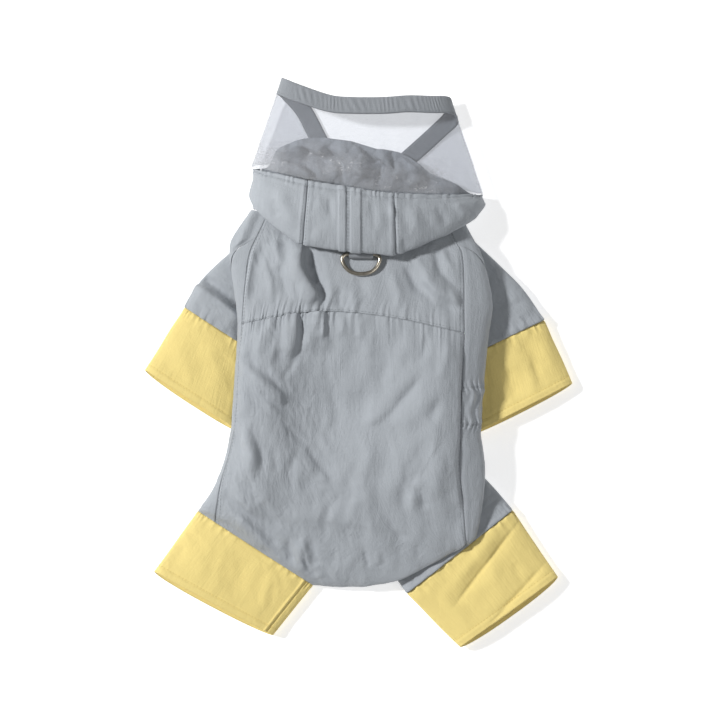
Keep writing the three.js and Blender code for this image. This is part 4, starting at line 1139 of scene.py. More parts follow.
# What a user may change
class RaincoatSizes(bpy.types.PropertyGroup):
    cloth: FloatProperty(
        name="Cloth", description="Thickness of the cloth walls", default=0.0008, unit="LENGTH"
    )
    film: FloatProperty(
        name="Film", description="Thickness of the visor's film", default=0.0006, unit="LENGTH"
    )
    trim: FloatProperty(name="Trim", description="Thickness of the binding", default=0.0016, unit="LENGTH")
    crinkle: FloatProperty(
        name="Crinkle", description="Height of the cloth's small creases", default=0.00045, unit="LENGTH"
    )
    gather: FloatProperty(
        name="Gather", description="Height of the gathers at the yoke seam", default=0.0011, unit="LENGTH"
    )
    yoke_waves: IntProperty(name="Yoke waves", description="Gathers along the yoke seam", default=37)
    rim_waves: IntProperty(name="Rim waves", description="Gathers along the hood's rim", default=40)
    stitch_pitch: FloatProperty(
        name="Pitch", description="Distance from stitch to stitch", default=0.0026, unit="LENGTH"
    )
    stitch_length: FloatProperty(
        name="Stitch", description="Length of one stitch", default=0.0019, unit="LENGTH"
    )
    thread_radius: FloatProperty(
        name="Thread", description="Half the thread's thickness", default=0.00022, unit="LENGTH"
    )
    lens: FloatProperty(name="Lens", description="Focal length of the camera, in millimetres", default=200.0)
    frame_width: FloatProperty(
        name="Frame width", description="Width that the picture shows", default=0.54, unit="LENGTH"
    )


class RaincoatColours(bpy.types.PropertyGroup):
    grey: FloatVectorProperty(
        name="Grey cloth", description="Body cloth", subtype="COLOR", default=(0.372, 0.397, 0.425)
    )
    trim: FloatVectorProperty(
        name="Trim", description="Binding and webbing", subtype="COLOR", default=(0.277, 0.294, 0.316)
    )
    yellow: FloatVectorProperty(
        name="Yellow cloth", description="Cuffs", subtype="COLOR", default=(0.84, 0.675, 0.25)
    )
    film: FloatVectorProperty(name="Film", description="Visor", subtype="COLOR", default=(0.893, 0.9, 0.915))
    haze: FloatProperty(name="Haze", description="How much the film covers what lies behind it", default=0.1)
    metal: FloatVectorProperty(
        name="Metal", description="Leash ring", subtype="COLOR", default=(0.62, 0.56, 0.46)
    )
    thread: FloatVectorProperty(
        name="Thread", description="Grey stitching", subtype="COLOR", default=(0.27, 0.29, 0.31)
    )
    yellow_thread: FloatVectorProperty(
        name="Yellow thread", description="Stitching on the cuffs", subtype="COLOR",
        default=(0.72, 0.56, 0.18),
    )
    floor: FloatVectorProperty(
        name="Floor", description="Pale floor", subtype="COLOR", default=(0.86, 0.86, 0.86)
    )


class Maker(bpy.types.Operator):
    """What the raincoat's operators share"""

    bl_idname = "raincoat.maker"
    bl_label = "Maker"
    bl_options = {"INTERNAL"}

    def sizes(self, context):
        return context.scene.raincoat_sizes

    def colours(self, context):
        return context.scene.raincoat_colours


class FinishesOperator(Maker):
    """Make the cloths, film, metal and thread"""

    bl_idname = "raincoat.finishes"
    bl_label = "Finishes"

    def execute(self, context):
        colours = self.colours(context)
        woven("grey_cloth", colours.grey)
        woven("trim_cloth", colours.trim, thread=0.0005, crinkled=0.5)
        woven("yellow_cloth", colours.yellow, crinkled=0.45, sheen=0.15, rough=0.74)
        clear_film("clear_film", colours.film, colours.haze)
        plated_metal("ring_metal", colours.metal)
        sewing_thread("grey_thread", colours.thread)
        sewing_thread("yellow_thread", colours.yellow_thread)
        pale_floor("floor_paint", colours.floor)
        return {"FINISHED"}


def body_crinkle(x, y, height):
    """Small creases of the light cloth, finer and denser on the left half."""
    amount = mix(2.0, 0.5, ease(x, -45, 25))
    broad = crinkle(x, y, 30, 3, 1.6, 0.25)
    soft = noise(x / 13 + 0.3 * noise(x / 20, y / 20, 8), y / 24, 6)
    small = crinkle(x, y, 12, 11, 2.1, 0.35)
    fine = crinkle(x, y, 5, 17, 2.4, 0.2)
    return height * (1.8 * broad + 3.4 * soft + amount * (1.0 * small + 0.4 * fine))


def seam_roll(distance, height=0.55):
    """Cloth that swells beside a seam and turns down into it."""
    return height * bump(distance, 2.2, 1.4) - height * np.exp(-distance / 0.5)


def gather_waves(place, count, distance, height, reach, seed):
    """Rounded waves of uneven height and spacing, fading away from their seam."""
    wander = place + 0.35 / count * np.sin(place * count * 1.7 + seed)
    wander = wander + 0.5 / count * np.sin(place * 13 + seed)
    uneven = 0.7 + 0.3 * np.sin(np.floor(wander * count) * 2.4 + seed)
    long_reach = reach * (0.6 + 0.8 * np.abs(np.sin(np.floor(wander * count) * 1.9 + seed)))
    fade = np.maximum(1 - distance / long_reach, 0) ** 1.2
    inside = ease(place, 0, 0.06) * (1 - ease(place, 0.94, 1))
    return height * inside * uneven * fade * np.abs(np.sin(np.pi * count * wander)) ** 0.8


def side_rolls(u, width):
    """Both side seams of a panel that is so wide."""
    return seam_roll(u * width) + seam_roll((1 - u) * width)


def yoke_gathers(u, distance, count, height, reach, seed):
    """The gathers along the yoke seam, fullest left of the middle."""
    place = (u - GATHERS_START) / (GATHERS_END - GATHERS_START)
    most = 0.35 + 0.65 * bump(place, 0.36, 0.3)
    return most * gather_waves(place, count, distance, height, reach, seed)


class TrunkOperator(Maker):
    """Make the yoke, the gathered back panel and the two flanks"""

    bl_idname = "raincoat.trunk"
    bl_label = "Trunk"

    def execute(self, context):
        sizes = self.sizes(context)
        thick = sizes.cloth / MM
        small = sizes.crinkle / MM
        high = sizes.gather / MM
        waves = sizes.yoke_waves
        grey = finish_named("grey_cloth")
        gap = HALF_GAP / 20

        def back(u, v):
            s = mix(yoke_station(u) + gap, LAST_STATION, v)
            return trunk(s, mix(left_seam(s, HALF_GAP), back_right(s), u))

        def back_folds(u, v, p):
            x, y = p[..., 0], p[..., 1]
            calm = ease(u, 0, 0.03) * (1 - ease(u, 0.97, 1)) * (1 - ease(v, 0.97, 1))
            length = ease(y, -120, -90) * (1 - ease(y, 5, 30))
            broad = length * (3.5 * bump(x, 62, 20) + 3.2 * bump(x, -78, 16) - 3.0 * bump(x, -34, 22))
            folds = fold_height(BACK_FOLDS, x, y) + draped_height(BACK_DRAPES, x, y)
            return calm * (folds + broad + body_crinkle(x, y, small))

        def back_relief(u, v, p):
            down = v * BACK_LENGTH
            raised = yoke_gathers(u, down, waves, 1.9 * high, 16, 0.4)
            return raised + 0.35 * seam_roll(down, 0.4) + 0.35 * side_rolls(u, BACK_WIDTH)

        lay("back_panel_cloth", "back_panel", "grey_cloth", grey,
            Cloth(back, 130, 110, thick, back_folds, back_relief), ("leg_hind_right", "floor"), "gathered")

        def yoke(u, v):
            s = mix(0.02, yoke_station(u) - gap, v)
            return trunk(s, mix(left_seam(s, HALF_GAP), back_right(s), u))

        def yoke_folds(u, v, p):
            x, y = p[..., 0], p[..., 1]
            ring_bed = 1 - bump(x, RING_X, 20) * bump(y, RING_BAR_Y - 6, 14)
            calm = ring_bed * ease(u, 0, 0.04) * (1 - ease(u, 0.96, 1)) * ease(v, 0.04, 0.2)
            folds = fold_height(YOKE_FOLDS, x, y) + draped_height(YOKE_DRAPES, x, y)
            return calm * (folds + body_crinkle(x, y, small))

        def yoke_relief(u, v, p):
            up = (1 - v) * YOKE_LENGTH
            raised = yoke_gathers(u, up, waves, 1.8 * high, 12, 2.1)
            return raised + 0.3 * seam_roll(up, 0.4) + 0.35 * side_rolls(u, YOKE_WIDTH)

        lay("back_yoke_cloth", "back_yoke", "grey_cloth", grey,
            Cloth(yoke, 130, 38, thick, yoke_folds, yoke_relief), ("back_panel",))

        def flank_left(u, v):
            top, foot = RAGLAN["zl"]
            s = mix(mix(foot, top, u), LAST_STATION, v)
            height = ARMHOLE_HEIGHT * (1 - ease(s, 7.9, 9.2))
            return trunk(s, mix(-flank_limit(s, "zl", height), left_seam(s, -HALF_GAP), u))

        def flank_folds(u, v, p):
            middle = ease(u, 0.1, 0.4)
            return middle * small * 1.2 * crinkle(p[..., 0], p[..., 1], 11, 5, 1.6)

        lay("side_left_cloth", "side_left", "grey_cloth", grey,
            Cloth(flank_left, 16, 110, thick, flank_folds), ("floor",))

        def flank_right(u, v):
            top, foot = RAGLAN["zr"]
            s = mix(mix(top, foot, u), HEM_STATION - 0.15, v)
            waist = ease(s, 7.9, 8.6) * (1 - ease(s, 8.7, 9.4))
            high_limit = 1 + flank_limit(s, "zr", ARMHOLE_HEIGHT * (1 - waist))
            return trunk(s, mix(right_seam(s, HALF_GAP), high_limit, u))

        def right_relief(u, v, p):
            y = p[..., 1]
            top, bottom = SHIRR_TOP, SHIRR_BOTTOM
            rows = bump(y, top, 5) + bump(y, bottom, 5)
            pulled = -0.7 * (bump(y, top, 1.2) + bump(y, bottom, 1.2)) * (1 - ease(u, 0.8, 1))
            wander = 0.35 * np.sin(y * 0.31) + 0.25 * np.sin(y * 0.13 + 2)
            puckers = rows * (0.5 - 0.5 * np.cos(2 * np.pi * (7.3 * u + wander)))
            between = ease(y, bottom - 6, bottom + 3) * (1 - ease(y, top - 3, top + 6))
            upright = between * (0.5 - 0.5 * np.cos(2 * np.pi * (3.4 * u + 0.5 * wander) + 0.04 * y))
            return pulled + 0.9 * puckers + 1.0 * upright + 0.5 * seam_roll(u * 24)

        lay("side_right_cloth", "side_right", "grey_cloth", grey,
            Cloth(flank_right, 26, 120, thick, flank_folds, right_relief),
            ("sleeve_right", "leg_hind_right"), "gathered")
        return {"FINISHED"}


def softened_copy(node, name, rounding, on_rim, cloth_place, is_smooth=None):
    """A copy of a CAD node with its rim's edges rounded and a UV map along the cloth, and its area."""
    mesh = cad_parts[node].data.copy()
    mesh.name = name
    bm = bmesh.new()
    bm.from_mesh(mesh)
    bmesh.ops.remove_doubles(bm, verts=bm.verts, dist=MERGE)
    bmesh.ops.dissolve_limit(bm, angle_limit=0.02, verts=bm.verts, edges=bm.edges)
    rim = [edge for edge in bm.edges if on_rim(edge)]
    bmesh.ops.bevel(bm, geom=rim, offset=rounding, segments=2, affect="EDGES")
    bmesh.ops.triangulate(bm, faces=bm.faces)
    layer = bm.loops.layers.uv.new("cloth")
    for face in bm.faces:
        if is_smooth:
            face.smooth = is_smooth(face)
        for loop in face.loops:
            loop[layer].uv = cloth_place(loop.vert.co)
    area = sum(face.calc_area() for face in bm.faces)
    bm.to_mesh(mesh)
    bm.free()
    return mesh, area


class UndersideOperator(Maker):
    """Make the flat belly panel and the under layer of the left hind leg"""

    bl_idname = "raincoat.underside"
    bl_label = "Underside"

    def execute(self, context):
        grey = finish_named("grey_cloth")
        for node in ("belly_panel", "leg_hind_left"):
            mesh, area = softened_copy(
                node, node + "_cloth", 0.0004, self.is_level_rim, lambda co: (co.x, co.y)
            )
            piece = show(node + "_cloth", mesh, grey)
            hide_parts(node)
            low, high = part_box(node)
            flat = (high.x - low.x, high.y - low.y)
            min(area / 2, flat[0] * flat[1])
        return {"FINISHED"}

    @staticmethod
    def is_level_rim(edge):
        """An edge along the panel's outline, not one that stands up."""
        level = abs(edge.verts[0].co.z - edge.verts[1].co.z) < MERGE
        return edge.calc_face_angle(0) > 1.0 and level


def limb(rings, start, end, under=0.0):
    """One stretch of a limb, between two of its rings."""
    pitch = math.hypot(rings["xo"][1] - rings["xo"][0], rings["yo"][1] - rings["yo"][0])

    def surface(u, v):
        further = under / pitch * np.maximum(-np.sin(2 * np.pi * u), 0)
        return flat_tube(rings, mix(start, end + further, v), u % 1.0)

    return surface


class SleevesOperator(Maker):
    """Make the raglan sleeves and the right hind leg"""

    bl_idname = "raincoat.sleeves"
    bl_label = "Sleeves and leg"

    def execute(self, context):
        sizes = self.sizes(context)
        thick = sizes.cloth / MM
        small = sizes.crinkle / MM
        grey = finish_named("grey_cloth")
        ring_gap = HALF_GAP / 14

        def shoulder(name):
            left = name == "zl"
            top, foot = RAGLAN[name]

            def surface(u, v):
                s = mix(0.02, mix(top, foot, 1 - u if left else u) - 4 * HALF_GAP / 20, v)
                limit = flank_limit(s, name, SLEEVE_HEIGHT * 0.9 * ease(s, 0.5, 1.2))
                if left:
                    return trunk(s, mix(-limit, left_seam(s, -HALF_GAP), u))
                return trunk(s, mix(right_seam(s, HALF_GAP), 1 + limit, u))

            return surface

        def tube_folds(seed):
            def folds(u, v, p):
                top = ease(np.sin(2 * np.pi * u), 0.05, 0.4)
                ends = ease(v, 0, 0.1)
                x, y = p[..., 0], p[..., 1]
                broad = crinkle(x, y, 20, seed, 1.7, 0.8)
                fine = crinkle(x, y, 4.5, seed + 6, 1.8, 0.5)
                small_folds = 3.0 * broad + 1.3 * crinkle(x, y, 8, seed + 3, 1.6, 0.8) + 0.35 * fine
                return top * ends * (small * small_folds + draped_height(SLEEVE_DRAPES, x, y))

            return folds

        def cap_folds(u, v, p):
            x, y = p[..., 0], p[..., 1]
            held = ease(u, 0.02, 0.2) * (1 - ease(u, 0.86, 0.98)) * (1 - ease(v, 0.78, 0.96))
            creases = ease(u, 0, 0.3) * small * crinkle(x, y, 9, 21, 1.6)
            return creases + held * draped_height(SHOULDER_DRAPES, x, y)

        def end_puckers(count, seed):
            def relief(u, v, p):
                up = (1 - v) * LIMB_LENGTH
                top = ease(np.sin(2 * np.pi * u), 0, 0.3)
                waves = gather_waves(np.clip(u * 2, 0, 1), count, up, 1.3, 8, seed)
                return top * waves + 0.4 * seam_roll(up, 0.6)

            return relief

        for node, name, rings, seed in (
            ("sleeve_left", "zl", FRONT_LEFT, 31),
            ("sleeve_right", "zr", FRONT_RIGHT, 37),
        ):
            mirrored = rings["xo"][0] > rings["xi"][0]
            cap = Cloth(shoulder(name), 20, 40, thick, cap_folds)
            tube = Cloth(
                limb(rings, 0, 3 - ring_gap), 100, 30, thick, tube_folds(seed), end_puckers(11, seed),
                True, mirrored,
            )
            lay(node + "_cloth", node, "grey_cloth", grey, [tube, cap])
        leg = Cloth(
            limb(HIND_RIGHT, 0, 2 - ring_gap), 100, 22, thick, tube_folds(43), end_puckers(10, 43),
            True, True,
        )
        lay("leg_hind_right_cloth", "leg_hind_right", "grey_cloth", grey, leg)
        return {"FINISHED"}


CUFF_FOLDS = {
    "cuff_front_left": [
        ([(-93, -38), (-84, -30)], 2.0, -2.0), ([(-140, 20), (-124, -16)], 7, 0.8),
        ([(-150, -2), (-128, -14)], 5, -0.8),
    ],
    "cuff_front_right": [
        ([(138, 20), (148, -10)], 5, 0.9), ([(96, -6), (96, -40)], 4, -0.9), ([(126, 4), (132, -22)], 4, 0.9),
    ],
    "cuff_hind_left": [
        ([(-66, -158), (-72, -184)], 4, 0.9), ([(-130, -138), (-142, -154)], 5, -0.7),
        ([(-98, -134), (-112, -176)], 5, 0.7),
    ],
    "cuff_hind_right": [
        ([(120, -120), (96, -151), (71, -184)], 1.4, -1.0), ([(140, -151), (99, -196)], 1.4, -0.9),
        ([(92, -136), (108, -176)], 6, 0.9), ([(60, -172), (84, -200)], 5, 0.8),
        ([(116, -150), (124, -168)], 4, -0.8),
    ],
}


class CuffsOperator(Maker):
    """Make the four wide yellow cuffs"""

    bl_idname = "raincoat.cuffs"
    bl_label = "Cuffs"

    def execute(self, context):
        sizes = self.sizes(context)
        thick = sizes.cloth / MM
        yellow = finish_named("yellow_cloth")
        ring_gap = HALF_GAP / 14
        for node, rings, start, seam, seed in (
            ("cuff_front_left", FRONT_LEFT, 3, 0.0, 1),
            ("cuff_front_right", FRONT_RIGHT, 3, 0.0, 2),
            ("cuff_hind_left", HIND_LEFT, 0, 9.0, 3),
            ("cuff_hind_right", HIND_RIGHT, 2, 0.0, 4),
        ):
            last = len(rings["xo"]) - 1
            width = math.hypot(rings["xo"][last] - rings["xi"][last], rings["yo"][last] - rings["yi"][last])
            mirrored = rings["xo"][0] > rings["xi"][0]

            def folds(u, v, p, node=node, seed=seed):
                top = ease(np.sin(2 * np.pi * u), 0.02, 0.3)
                x, y = p[..., 0], p[..., 1]
                broad = crinkle(x, y, 24, 50 + seed, 1.4, 0.6)
                fine = 0.16 * crinkle(x, y, 8, 60 + seed) + 0.05 * crinkle(x, y, 3.6, 65 + seed)
                return top * (fold_height(CUFF_FOLDS[node], x, y) + 0.8 * broad + fine)

            def relief(u, v, p, seed=seed, seam=seam, width=width):
                down = v * CUFF_LENGTH
                top = ease(np.sin(2 * np.pi * u), 0, 0.3)
                pulled = -gather_waves(np.clip(u * 2, 0, 1), 15, down, 1.5, 8, 3.0 * seed)
                hem = 0.25 * bump(down, 51, 1.2) - 0.3 * bump(down, CUFF_HEM, 0.7)
                strip = 0.0
                if seam:
                    inset = (0.5 + 0.5 * np.cos(2 * np.pi * np.clip(u, 0, 0.5)))
                    inwards = width * inset
                    strip = 0.9 * bump(inwards, seam, 1.0) - 0.7 * bump(inwards, seam - 2.0, 0.8)
                return top * pulled + hem * top + 0.35 * seam_roll(down, 0.6) + strip * top

            cuff = Cloth(
                limb(rings, start + ring_gap, last, UNDER_LAYER), 120, 30, thick, folds, relief,
                True, mirrored,
            )
            lay(node + "_cloth", node, "yellow_cloth", yellow, cuff, ("floor",), "folded")
        return {"FINISHED"}


class HoodOperator(Maker):
    """Make the three crown panels and the crumpled throat side of the hood"""

    bl_idname = "raincoat.hood"
    bl_label = "Hood"

    def execute(self, context):
        sizes = self.sizes(context)
        thick = sizes.cloth / MM
        small = sizes.crinkle / MM
        waves = sizes.rim_waves
        grey = finish_named("grey_cloth")
        crown_folds = [
            ([(18, 126), (24, 116), (26, 106)], 2.4, 1.6),
            ([(-60, 130), (-56, 116), (-46, 100)], 5, 1.5),
            ([(-66, 122), (-60, 108)], 3.5, -1.3),
            ([(-30, 124), (-28, 104)], 4.5, 1.2),
            ([(40, 116), (44, 98)], 4.5, 1.3),
            ([(58, 116), (66, 102)], 3.5, -1.3),
            ([(72, 120), (80, 108)], 3.5, 1.4),
            ([(-22, 126), (-21, 108)], 2.5, -1.0),
            ([(10, 122), (12, 96)], 3, -0.9),
        ]
        for node, start, end, count in (
            ("hood_left", 0, HOOD_SEAM_LEFT, 80),
            ("hood_centre", HOOD_SEAM_LEFT, HOOD_SEAM_RIGHT, 60),
            ("hood_right", HOOD_SEAM_RIGHT, HOOD_SPAN, 80),
        ):
            low = start if start == 0 else start + 0.01
            high = end if end == HOOD_SPAN else end - 0.01
            length = 20.0 * (end - start)

            def surface(u, v, low=low, high=high):
                return hood_crown(mix(low, high, u), v)

            def folds(u, v, p):
                x, y = p[..., 0], p[..., 1]
                over = ease(v, 0.06, 0.2) * (1 - ease(v, 0.62, 0.75))
                creases = 0.6 * crinkle(x, y, 9, 71, 1.8, 0.1) + 2.0 * crinkle(x, y, 24, 77, 1.5)
                fine = small * (creases + 1.6 * noise(x / 12, y / 16, 79))
                return over * (fold_height(crown_folds, x, y) + fine)

            def relief(u, v, p, low=low, high=high, length=length):
                s = mix(low, high, u)
                back = v * HOOD_LENGTH
                pleats = gather_waves(s / HOOD_SPAN, waves, back, 1.25, 11, 5.0)
                elastic = 0.5 * bump(back, 1.2, 1.2) - 0.5 * bump(back, HOOD_STITCHES, 1.0)
                elastic = elastic + 0.35 * bump(back, 7.5, 2.0)
                over = ease(v, 0.0, 0.03) * (1 - ease(v, 0.6, 0.72))
                x = p[..., 0]
                casing = 0.0
                for middle, half in ((-12.5, 3.2), (-2.5, 4.6)):
                    casing = casing + 1 - ease(np.abs(x - middle), half * 0.7, half)
                first = seam_roll(u * length, 0.7) * (low > 0)
                second = seam_roll((1 - u) * length, 0.7) * (high < HOOD_SPAN)
                sides = first + second
                return pleats + elastic + over * 1.1 * casing + 0.8 * sides * over

            lay(node + "_cloth", node, "grey_cloth", grey,
                Cloth(surface, count, 44, thick, folds, relief), ("back_yoke", "floor"), "gathered")

        def throat_folds(u, v, p):
            x, y = p[..., 0], p[..., 1]
            middle = ease(u, 0.03, 0.12) * (1 - ease(u, 0.88, 0.97)) * ease(v, 0.3, 0.55)
            sharp = fold_height(THROAT_CRUMPLES, x, y)
            broad = 2.0 * crinkle(x, y, 19, 81, 1.2, 0.9)
            return middle * (1.7 * sharp + broad + 0.9 * crinkle(x, y, 8, 83, 1.3, -0.5))

        lay("hood_throat_cloth", "hood_throat", "grey_cloth", grey,
            Cloth(throat, 90, 56, thick, throat_folds, None, False, True), ("floor",))
        return {"FINISHED"}


class VisorOperator(Maker):
    """Make the clear visor and its pleated binding"""

    bl_idname = "raincoat.visor"
    bl_label = "Visor"

    def execute(self, context):
        sizes = self.sizes(context)

        def film(u, v):
            s = u * VISOR_SPAN
            return visor_surface(s, v * (trim_start(s) - 0.004))

        def film_folds(u, v, p):
            x, y = p[..., 0], p[..., 1]
            top = ease(u, 0.2, 0.3) * (1 - ease(u, 0.75, 0.85))
            waves = 1.3 * crinkle(x, y, 34, 91, 1.5, 0.5) + 0.6 * crinkle(x, y, 13, 92, 1.8, 0.3)
            return (0.35 + 0.65 * top) * np.sin(np.pi * v) ** 0.7 * waves

        film_sheet = Cloth(film, 90, 30, sizes.film / MM, film_folds, None, False, True)
        trim_sheet = Cloth(
            lambda u, v: visor_surface(u * VISOR_SPAN, mix(trim_start(u * VISOR_SPAN), 1, v)),
            240, 7, sizes.trim / MM, None, self.pleats, False, True,
        )
        trim = lay("visor_trim_cloth", "visor_trim", "trim_cloth", finish_named("trim_cloth"),
                   trim_sheet, ("floor",), "folded")
        lay("visor_film", "visor", "clear_film", finish_named("clear_film"),
            film_sheet, ("floor",), "stretched", (trim,))
        return {"FINISHED"}

    @staticmethod
    def pleats(u, v, p):
        middle = ease(u, 0.28, 0.34) * (1 - ease(u, 0.68, 0.74))
        wander = u * 74 + 0.6 * np.sin(u * 47) + 1.2 * v
        waves = 0.5 - 0.5 * np.cos(2 * np.pi * wander)
        uneven = 0.7 + 0.3 * np.sin(u * 91 + 2)
        fine = 0.25 * noise(p[..., 0] / 4, p[..., 1] / 9, 95)
        edges = 0.35 * (bump(v, 0.12, 0.07) + bump(v, 0.88, 0.07))
        return 0.55 * middle * uneven * waves * np.sin(np.pi * v) ** 0.5 + fine * 0.6 + edges * 0.6


class RingOperator(Maker):
    """Make the leash ring and the webbing loop that holds it"""

    bl_idname = "raincoat.ring"
    bl_label = "Leash ring"

    def execute(self, context):
        bar_height = trunk_top(RING_X, RING_BAR_Y) + RING_WIRE / 2 + RING_CLEARANCE + WEBBING + 0.3 + 0.2
        tip_height = trunk_top(RING_X, RING_BAR_Y - RING_DEPTH) + RING_WIRE / 2 + RING_LIFT
        tilt = math.atan2(tip_height - bar_height, RING_DEPTH)
        w, d = RING_HALF_WIDTH, RING_DEPTH
        outline = np.array([
            (-0.8 * w, 0), (-0.3 * w, 0), (0.3 * w, 0), (0.8 * w, 0), (w, -0.22 * d), (0.86 * w, -0.62 * d),
            (0.5 * w, -0.92 * d), (0, -d), (-0.5 * w, -0.92 * d), (-0.86 * w, -0.62 * d), (-w, -0.22 * d),
        ])
        centre = self.rounded(outline, 160)
        tangent = np.roll(centre, -1, axis=0) - np.roll(centre, 1, axis=0)
        tangent /= np.linalg.norm(tangent, axis=1, keepdims=True)
        aside = np.stack([-tangent[:, 1], tangent[:, 0]], axis=1)
        angles = np.linspace(0, 2 * np.pi, 20, endpoint=False)
        radius = RING_WIRE / 2
        flat = centre[:, None, :] + radius * np.cos(angles)[None, :, None] * aside[:, None, :]
        z = radius * np.sin(angles)[None, :] * np.ones((len(centre), 1))
        x = flat[..., 0] + RING_X
        y = flat[..., 1] * math.cos(tilt) + z * math.sin(tilt) + RING_BAR_Y
        z = z * math.cos(tilt) - flat[..., 1] * math.sin(tilt) + bar_height
        points = ((np.stack([x, y, z], axis=-1) + SHIFT) * MM).reshape(-1, 3)
        n, m = len(centre), len(angles)
        faces = []
        for k in range(n):
            for j in range(m):
                a, b = k * m + j, k * m + (j + 1) % m
                c, e = ((k + 1) % n) * m + (j + 1) % m, ((k + 1) % n) * m + j
                faces.append((a, e, c, b))
        mesh = bpy.data.meshes.new("d_ring_wire")
        mesh.from_pydata(points.tolist(), [], faces)
        mesh.polygons.foreach_set("use_smooth", np.ones(len(faces), dtype=bool))
        self.face_out(mesh)
        ring = show("d_ring_wire", mesh, finish_named("ring_metal"), "ring")
        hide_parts("d_ring")
        loop = self.loop_mesh()
        webbing = show("ring_loop_webbing", loop, finish_named("trim_cloth"))
        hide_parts("ring_loop")
        return {"FINISHED"}

    @staticmethod
    def rounded(outline, count):
        """A closed smooth line through the outline's points, evenly spaced."""
        n = len(outline)
        t = np.linspace(0, n, 24 * n, endpoint=False)
        i = np.floor(t).astype(int)
        f = (t - i)[:, None]
        p0, p1, p2, p3 = (outline[(i + k) % n] for k in (-1, 0, 1, 2))
        cubic = 3 * p1 - p0 - 3 * p2 + p3
        square = 2 * p0 - 5 * p1 + 4 * p2 - p3
        line = p1 + 0.5 * f * (p2 - p0 + f * (square + f * cubic))
        steps = np.linalg.norm(np.diff(np.concatenate([line, line[:1]]), axis=0), axis=1)
        run = np.r_[0, np.cumsum(steps)]
        wanted = np.linspace(0, run[-1], count, endpoint=False)
        closed = np.concatenate([line, line[:1]])
        return np.stack([np.interp(wanted, run, closed[:, k]) for k in (0, 1)], axis=1)

    @staticmethod
    def face_out(mesh):
        bm = bmesh.new()
        bm.from_mesh(mesh)
        bmesh.ops.recalc_face_normals(bm, faces=bm.faces)
        bm.to_mesh(mesh)
        bm.free()

    @staticmethod
    def loop_mesh():
        """The webbing loop, on its CAD solid's form with softened edges."""
        mesh, _ = softened_copy(
            "ring_loop", "ring_loop_webbing", 0.0003,
            lambda edge: edge.calc_face_angle(0) > 1.2,
            lambda co: (co.x, co.y + co.z),
            lambda face: abs(face.normal.x) < 0.5,
        )
        return mesh


class StitchesOperator(Maker):
    """Sew every visible seam"""

    bl_idname = "raincoat.stitches"
    bl_label = "Stitches"

    def execute(self, context):
        sizes = self.sizes(context)
        back, yoke = made["back_panel"][0], made["back_yoke"][0]
        side = np.linspace(0.004, 0.992, 400)
        edge = np.linspace(0.01, 0.99, 300)
        body_lines = []
        for inset in (1.4, 4.6):
            body_lines.append(back.at(np.full(400, inset / BACK_WIDTH), side, 0.06))
            short = side[side < 0.62]
            body_lines.append(back.at(np.full(len(short), 1 - inset / BACK_WIDTH), short, 0.06))
            down = np.linspace(0.15, 0.99, 200)
            body_lines.append(yoke.at(np.full(200, inset / YOKE_WIDTH), down, 0.06))
            body_lines.append(yoke.at(np.full(200, 1 - inset / YOKE_WIDTH), down, 0.06))
        body_lines.append(yoke.at(edge, np.full(300, 1 - 1.6 / YOKE_LENGTH), 0.08))
        right = made["side_right"][0]
        for y in (SHIRR_TOP, SHIRR_BOTTOM):
            u = np.linspace(0.04, 0.9, 40)
            rows = right.base[:, :, 1]
            v = np.array([np.interp(-y, -rows[:, int(k * (rows.shape[1] - 1))], right.vs) for k in u])
            body_lines.append(right.at(u, v, 0.08))
        sew("stitches_body", body_lines, finish_named("grey_thread"), sizes)

        hood_lines = []
        for node, ends in (("hood_left", (1,)), ("hood_centre", (0, 1)), ("hood_right", (0,))):
            panel = made[node][0]
            length = np.linalg.norm(np.diff(panel.base, axis=1), axis=-1).sum(axis=1).mean()
            for end in ends:
                inset = 1.5 / length
                seam, down = np.full(120, abs(end - inset)), np.linspace(0.01, 0.66, 120)
                hood_lines.append(panel.at(seam, down, 0.06))
            row = np.full(150, HOOD_STITCHES / HOOD_LENGTH)
            hood_lines.append(panel.at(np.linspace(0.01, 0.99, 150), row, 0.06))
        centre = made["hood_centre"][0]
        xs = centre.outer[:, :, 0]
        for x in (-8.6, -7.6, 2.6):
            v = np.linspace(0.02, 0.62, 110)
            rows = (v * (len(centre.vs) - 1)).astype(int)
            u = np.array([np.interp(x, xs[r], centre.us) for r in rows])
            hood_lines.append(centre.at(u, v, 0.08))
        sew("stitches_hood", hood_lines, finish_named("grey_thread"), sizes)

        trim = made["visor_trim"][0]
        trim_lines = [trim.at(np.linspace(0.01, 0.99, 700), np.full(700, place), 0.06) for place in (0.13,)]
        sew("stitches_trim", trim_lines, finish_named("grey_thread"), sizes)

        cuff_lines = []
        for node in ("cuff_front_left", "cuff_front_right", "cuff_hind_left", "cuff_hind_right"):
            cuff = made[node][0]
            around = np.linspace(0.02, 0.48, 300)
            cuff_lines.append(cuff.at(around, np.full(300, CUFF_HEM / CUFF_LENGTH), 0.05))
        sew("stitches_cuffs", cuff_lines, finish_named("yellow_thread"), sizes)
        return {"FINISHED"}


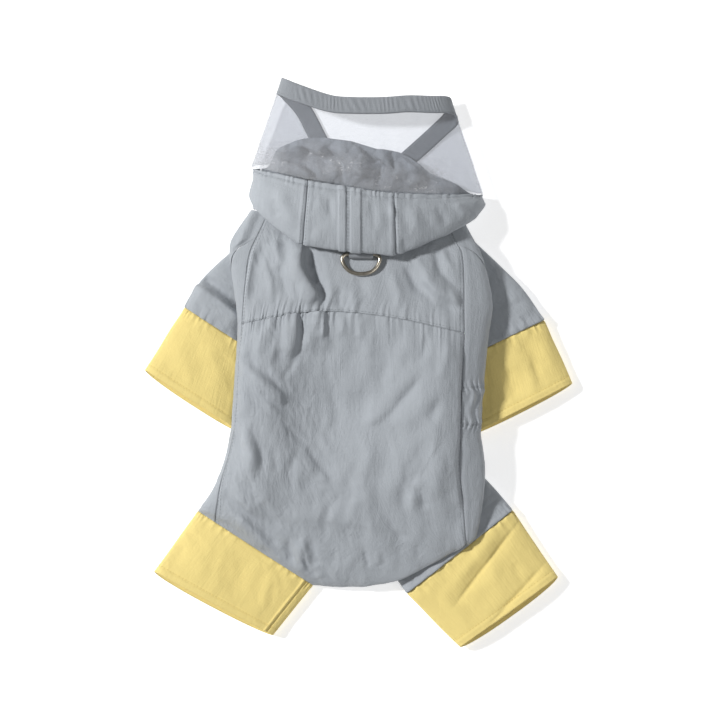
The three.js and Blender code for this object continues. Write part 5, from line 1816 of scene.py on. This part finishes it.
class StageOperator(Maker):
    """Set the pale floor, the soft light and the camera straight above"""

    bl_idname = "raincoat.stage"
    bl_label = "Stage"

    def execute(self, context):
        sizes = self.sizes(context)
        scene = context.scene
        mesh = bpy.data.meshes.new("floor")
        reach = 3.0
        corners = [(-reach, -reach, 0), (reach, -reach, 0), (reach, reach, 0), (-reach, reach, 0)]
        mesh.from_pydata(corners, [], [(0, 1, 2, 3)])
        floor = bpy.data.objects.new("floor", mesh)
        mesh.transform(Matrix.Translation((0, 0, -FLOOR_DROP * MM)))
        scene.collection.objects.link(floor)
        mesh.materials.append(finish_named("floor_paint"))

        world = bpy.data.worlds.new("studio")
        scene.world = world
        world.use_nodes = True
        world.node_tree.nodes["Background"].inputs["Color"].default_value = (0.96, 0.98, 1.0, 1)
        world.node_tree.nodes["Background"].inputs["Strength"].default_value = 0.18
        for name, place, size, power in (
            ("key", (-4.06, 1.47, 3.52), 0.6, 330.0),
            ("fill", (1.3, -0.6, 1.6), 1.6, 12.0),
        ):
            lamp = bpy.data.lights.new(name, "AREA")
            lamp.size = size
            lamp.energy = power
            light = bpy.data.objects.new(name, lamp)
            light.location = place
            light.rotation_euler = (-Vector(place)).to_track_quat("-Z", "Y").to_euler()
            scene.collection.objects.link(light)

        view = bpy.data.cameras.new("view")
        view.lens = sizes.lens
        view.sensor_width = SENSOR_WIDTH
        view.clip_end = 20
        camera = bpy.data.objects.new("view", view)
        distance = sizes.frame_width * sizes.lens / SENSOR_WIDTH
        middle = np.array([0.75, 1.875, 15]) + SHIFT
        camera.location = (middle[0] * MM, middle[1] * MM, middle[2] * MM + distance)
        scene.collection.objects.link(camera)
        scene.camera = camera
        scene.view_settings.view_transform = "Standard"
        return {"FINISHED"}


OPERATORS = (
    FinishesOperator,
    StageOperator,
    TrunkOperator,
    UndersideOperator,
    SleevesOperator,
    CuffsOperator,
    HoodOperator,
    VisorOperator,
    RingOperator,
    StitchesOperator,
)


class RaincoatPanel(bpy.types.Panel):
    """Sizes, colours and makers of the raincoat"""

    bl_idname = "VIEW3D_PT_raincoat"
    bl_label = "Raincoat"
    bl_space_type = "VIEW_3D"
    bl_region_type = "UI"
    bl_category = "Raincoat"

    def draw(self, context):
        for group in (context.scene.raincoat_sizes, context.scene.raincoat_colours):
            for name in group.__annotations__:
                self.layout.prop(group, name)
        for operator in OPERATORS:
            self.layout.operator(operator.bl_idname)


CLASSES = (RaincoatSizes, RaincoatColours, *OPERATORS, RaincoatPanel)


def register():
    for cls in CLASSES:
        bpy.utils.register_class(cls)
    bpy.types.Scene.raincoat_sizes = PointerProperty(type=RaincoatSizes)
    bpy.types.Scene.raincoat_colours = PointerProperty(type=RaincoatColours)


def unregister():
    del bpy.types.Scene.raincoat_colours
    del bpy.types.Scene.raincoat_sizes
    for cls in reversed(CLASSES):
        bpy.utils.unregister_class(cls)


def main():
    register()
    for operator in OPERATORS:
        group, name = operator.bl_idname.split(".")
        getattr(getattr(bpy.ops, group), name)()


if __name__ == "__main__":
    main()
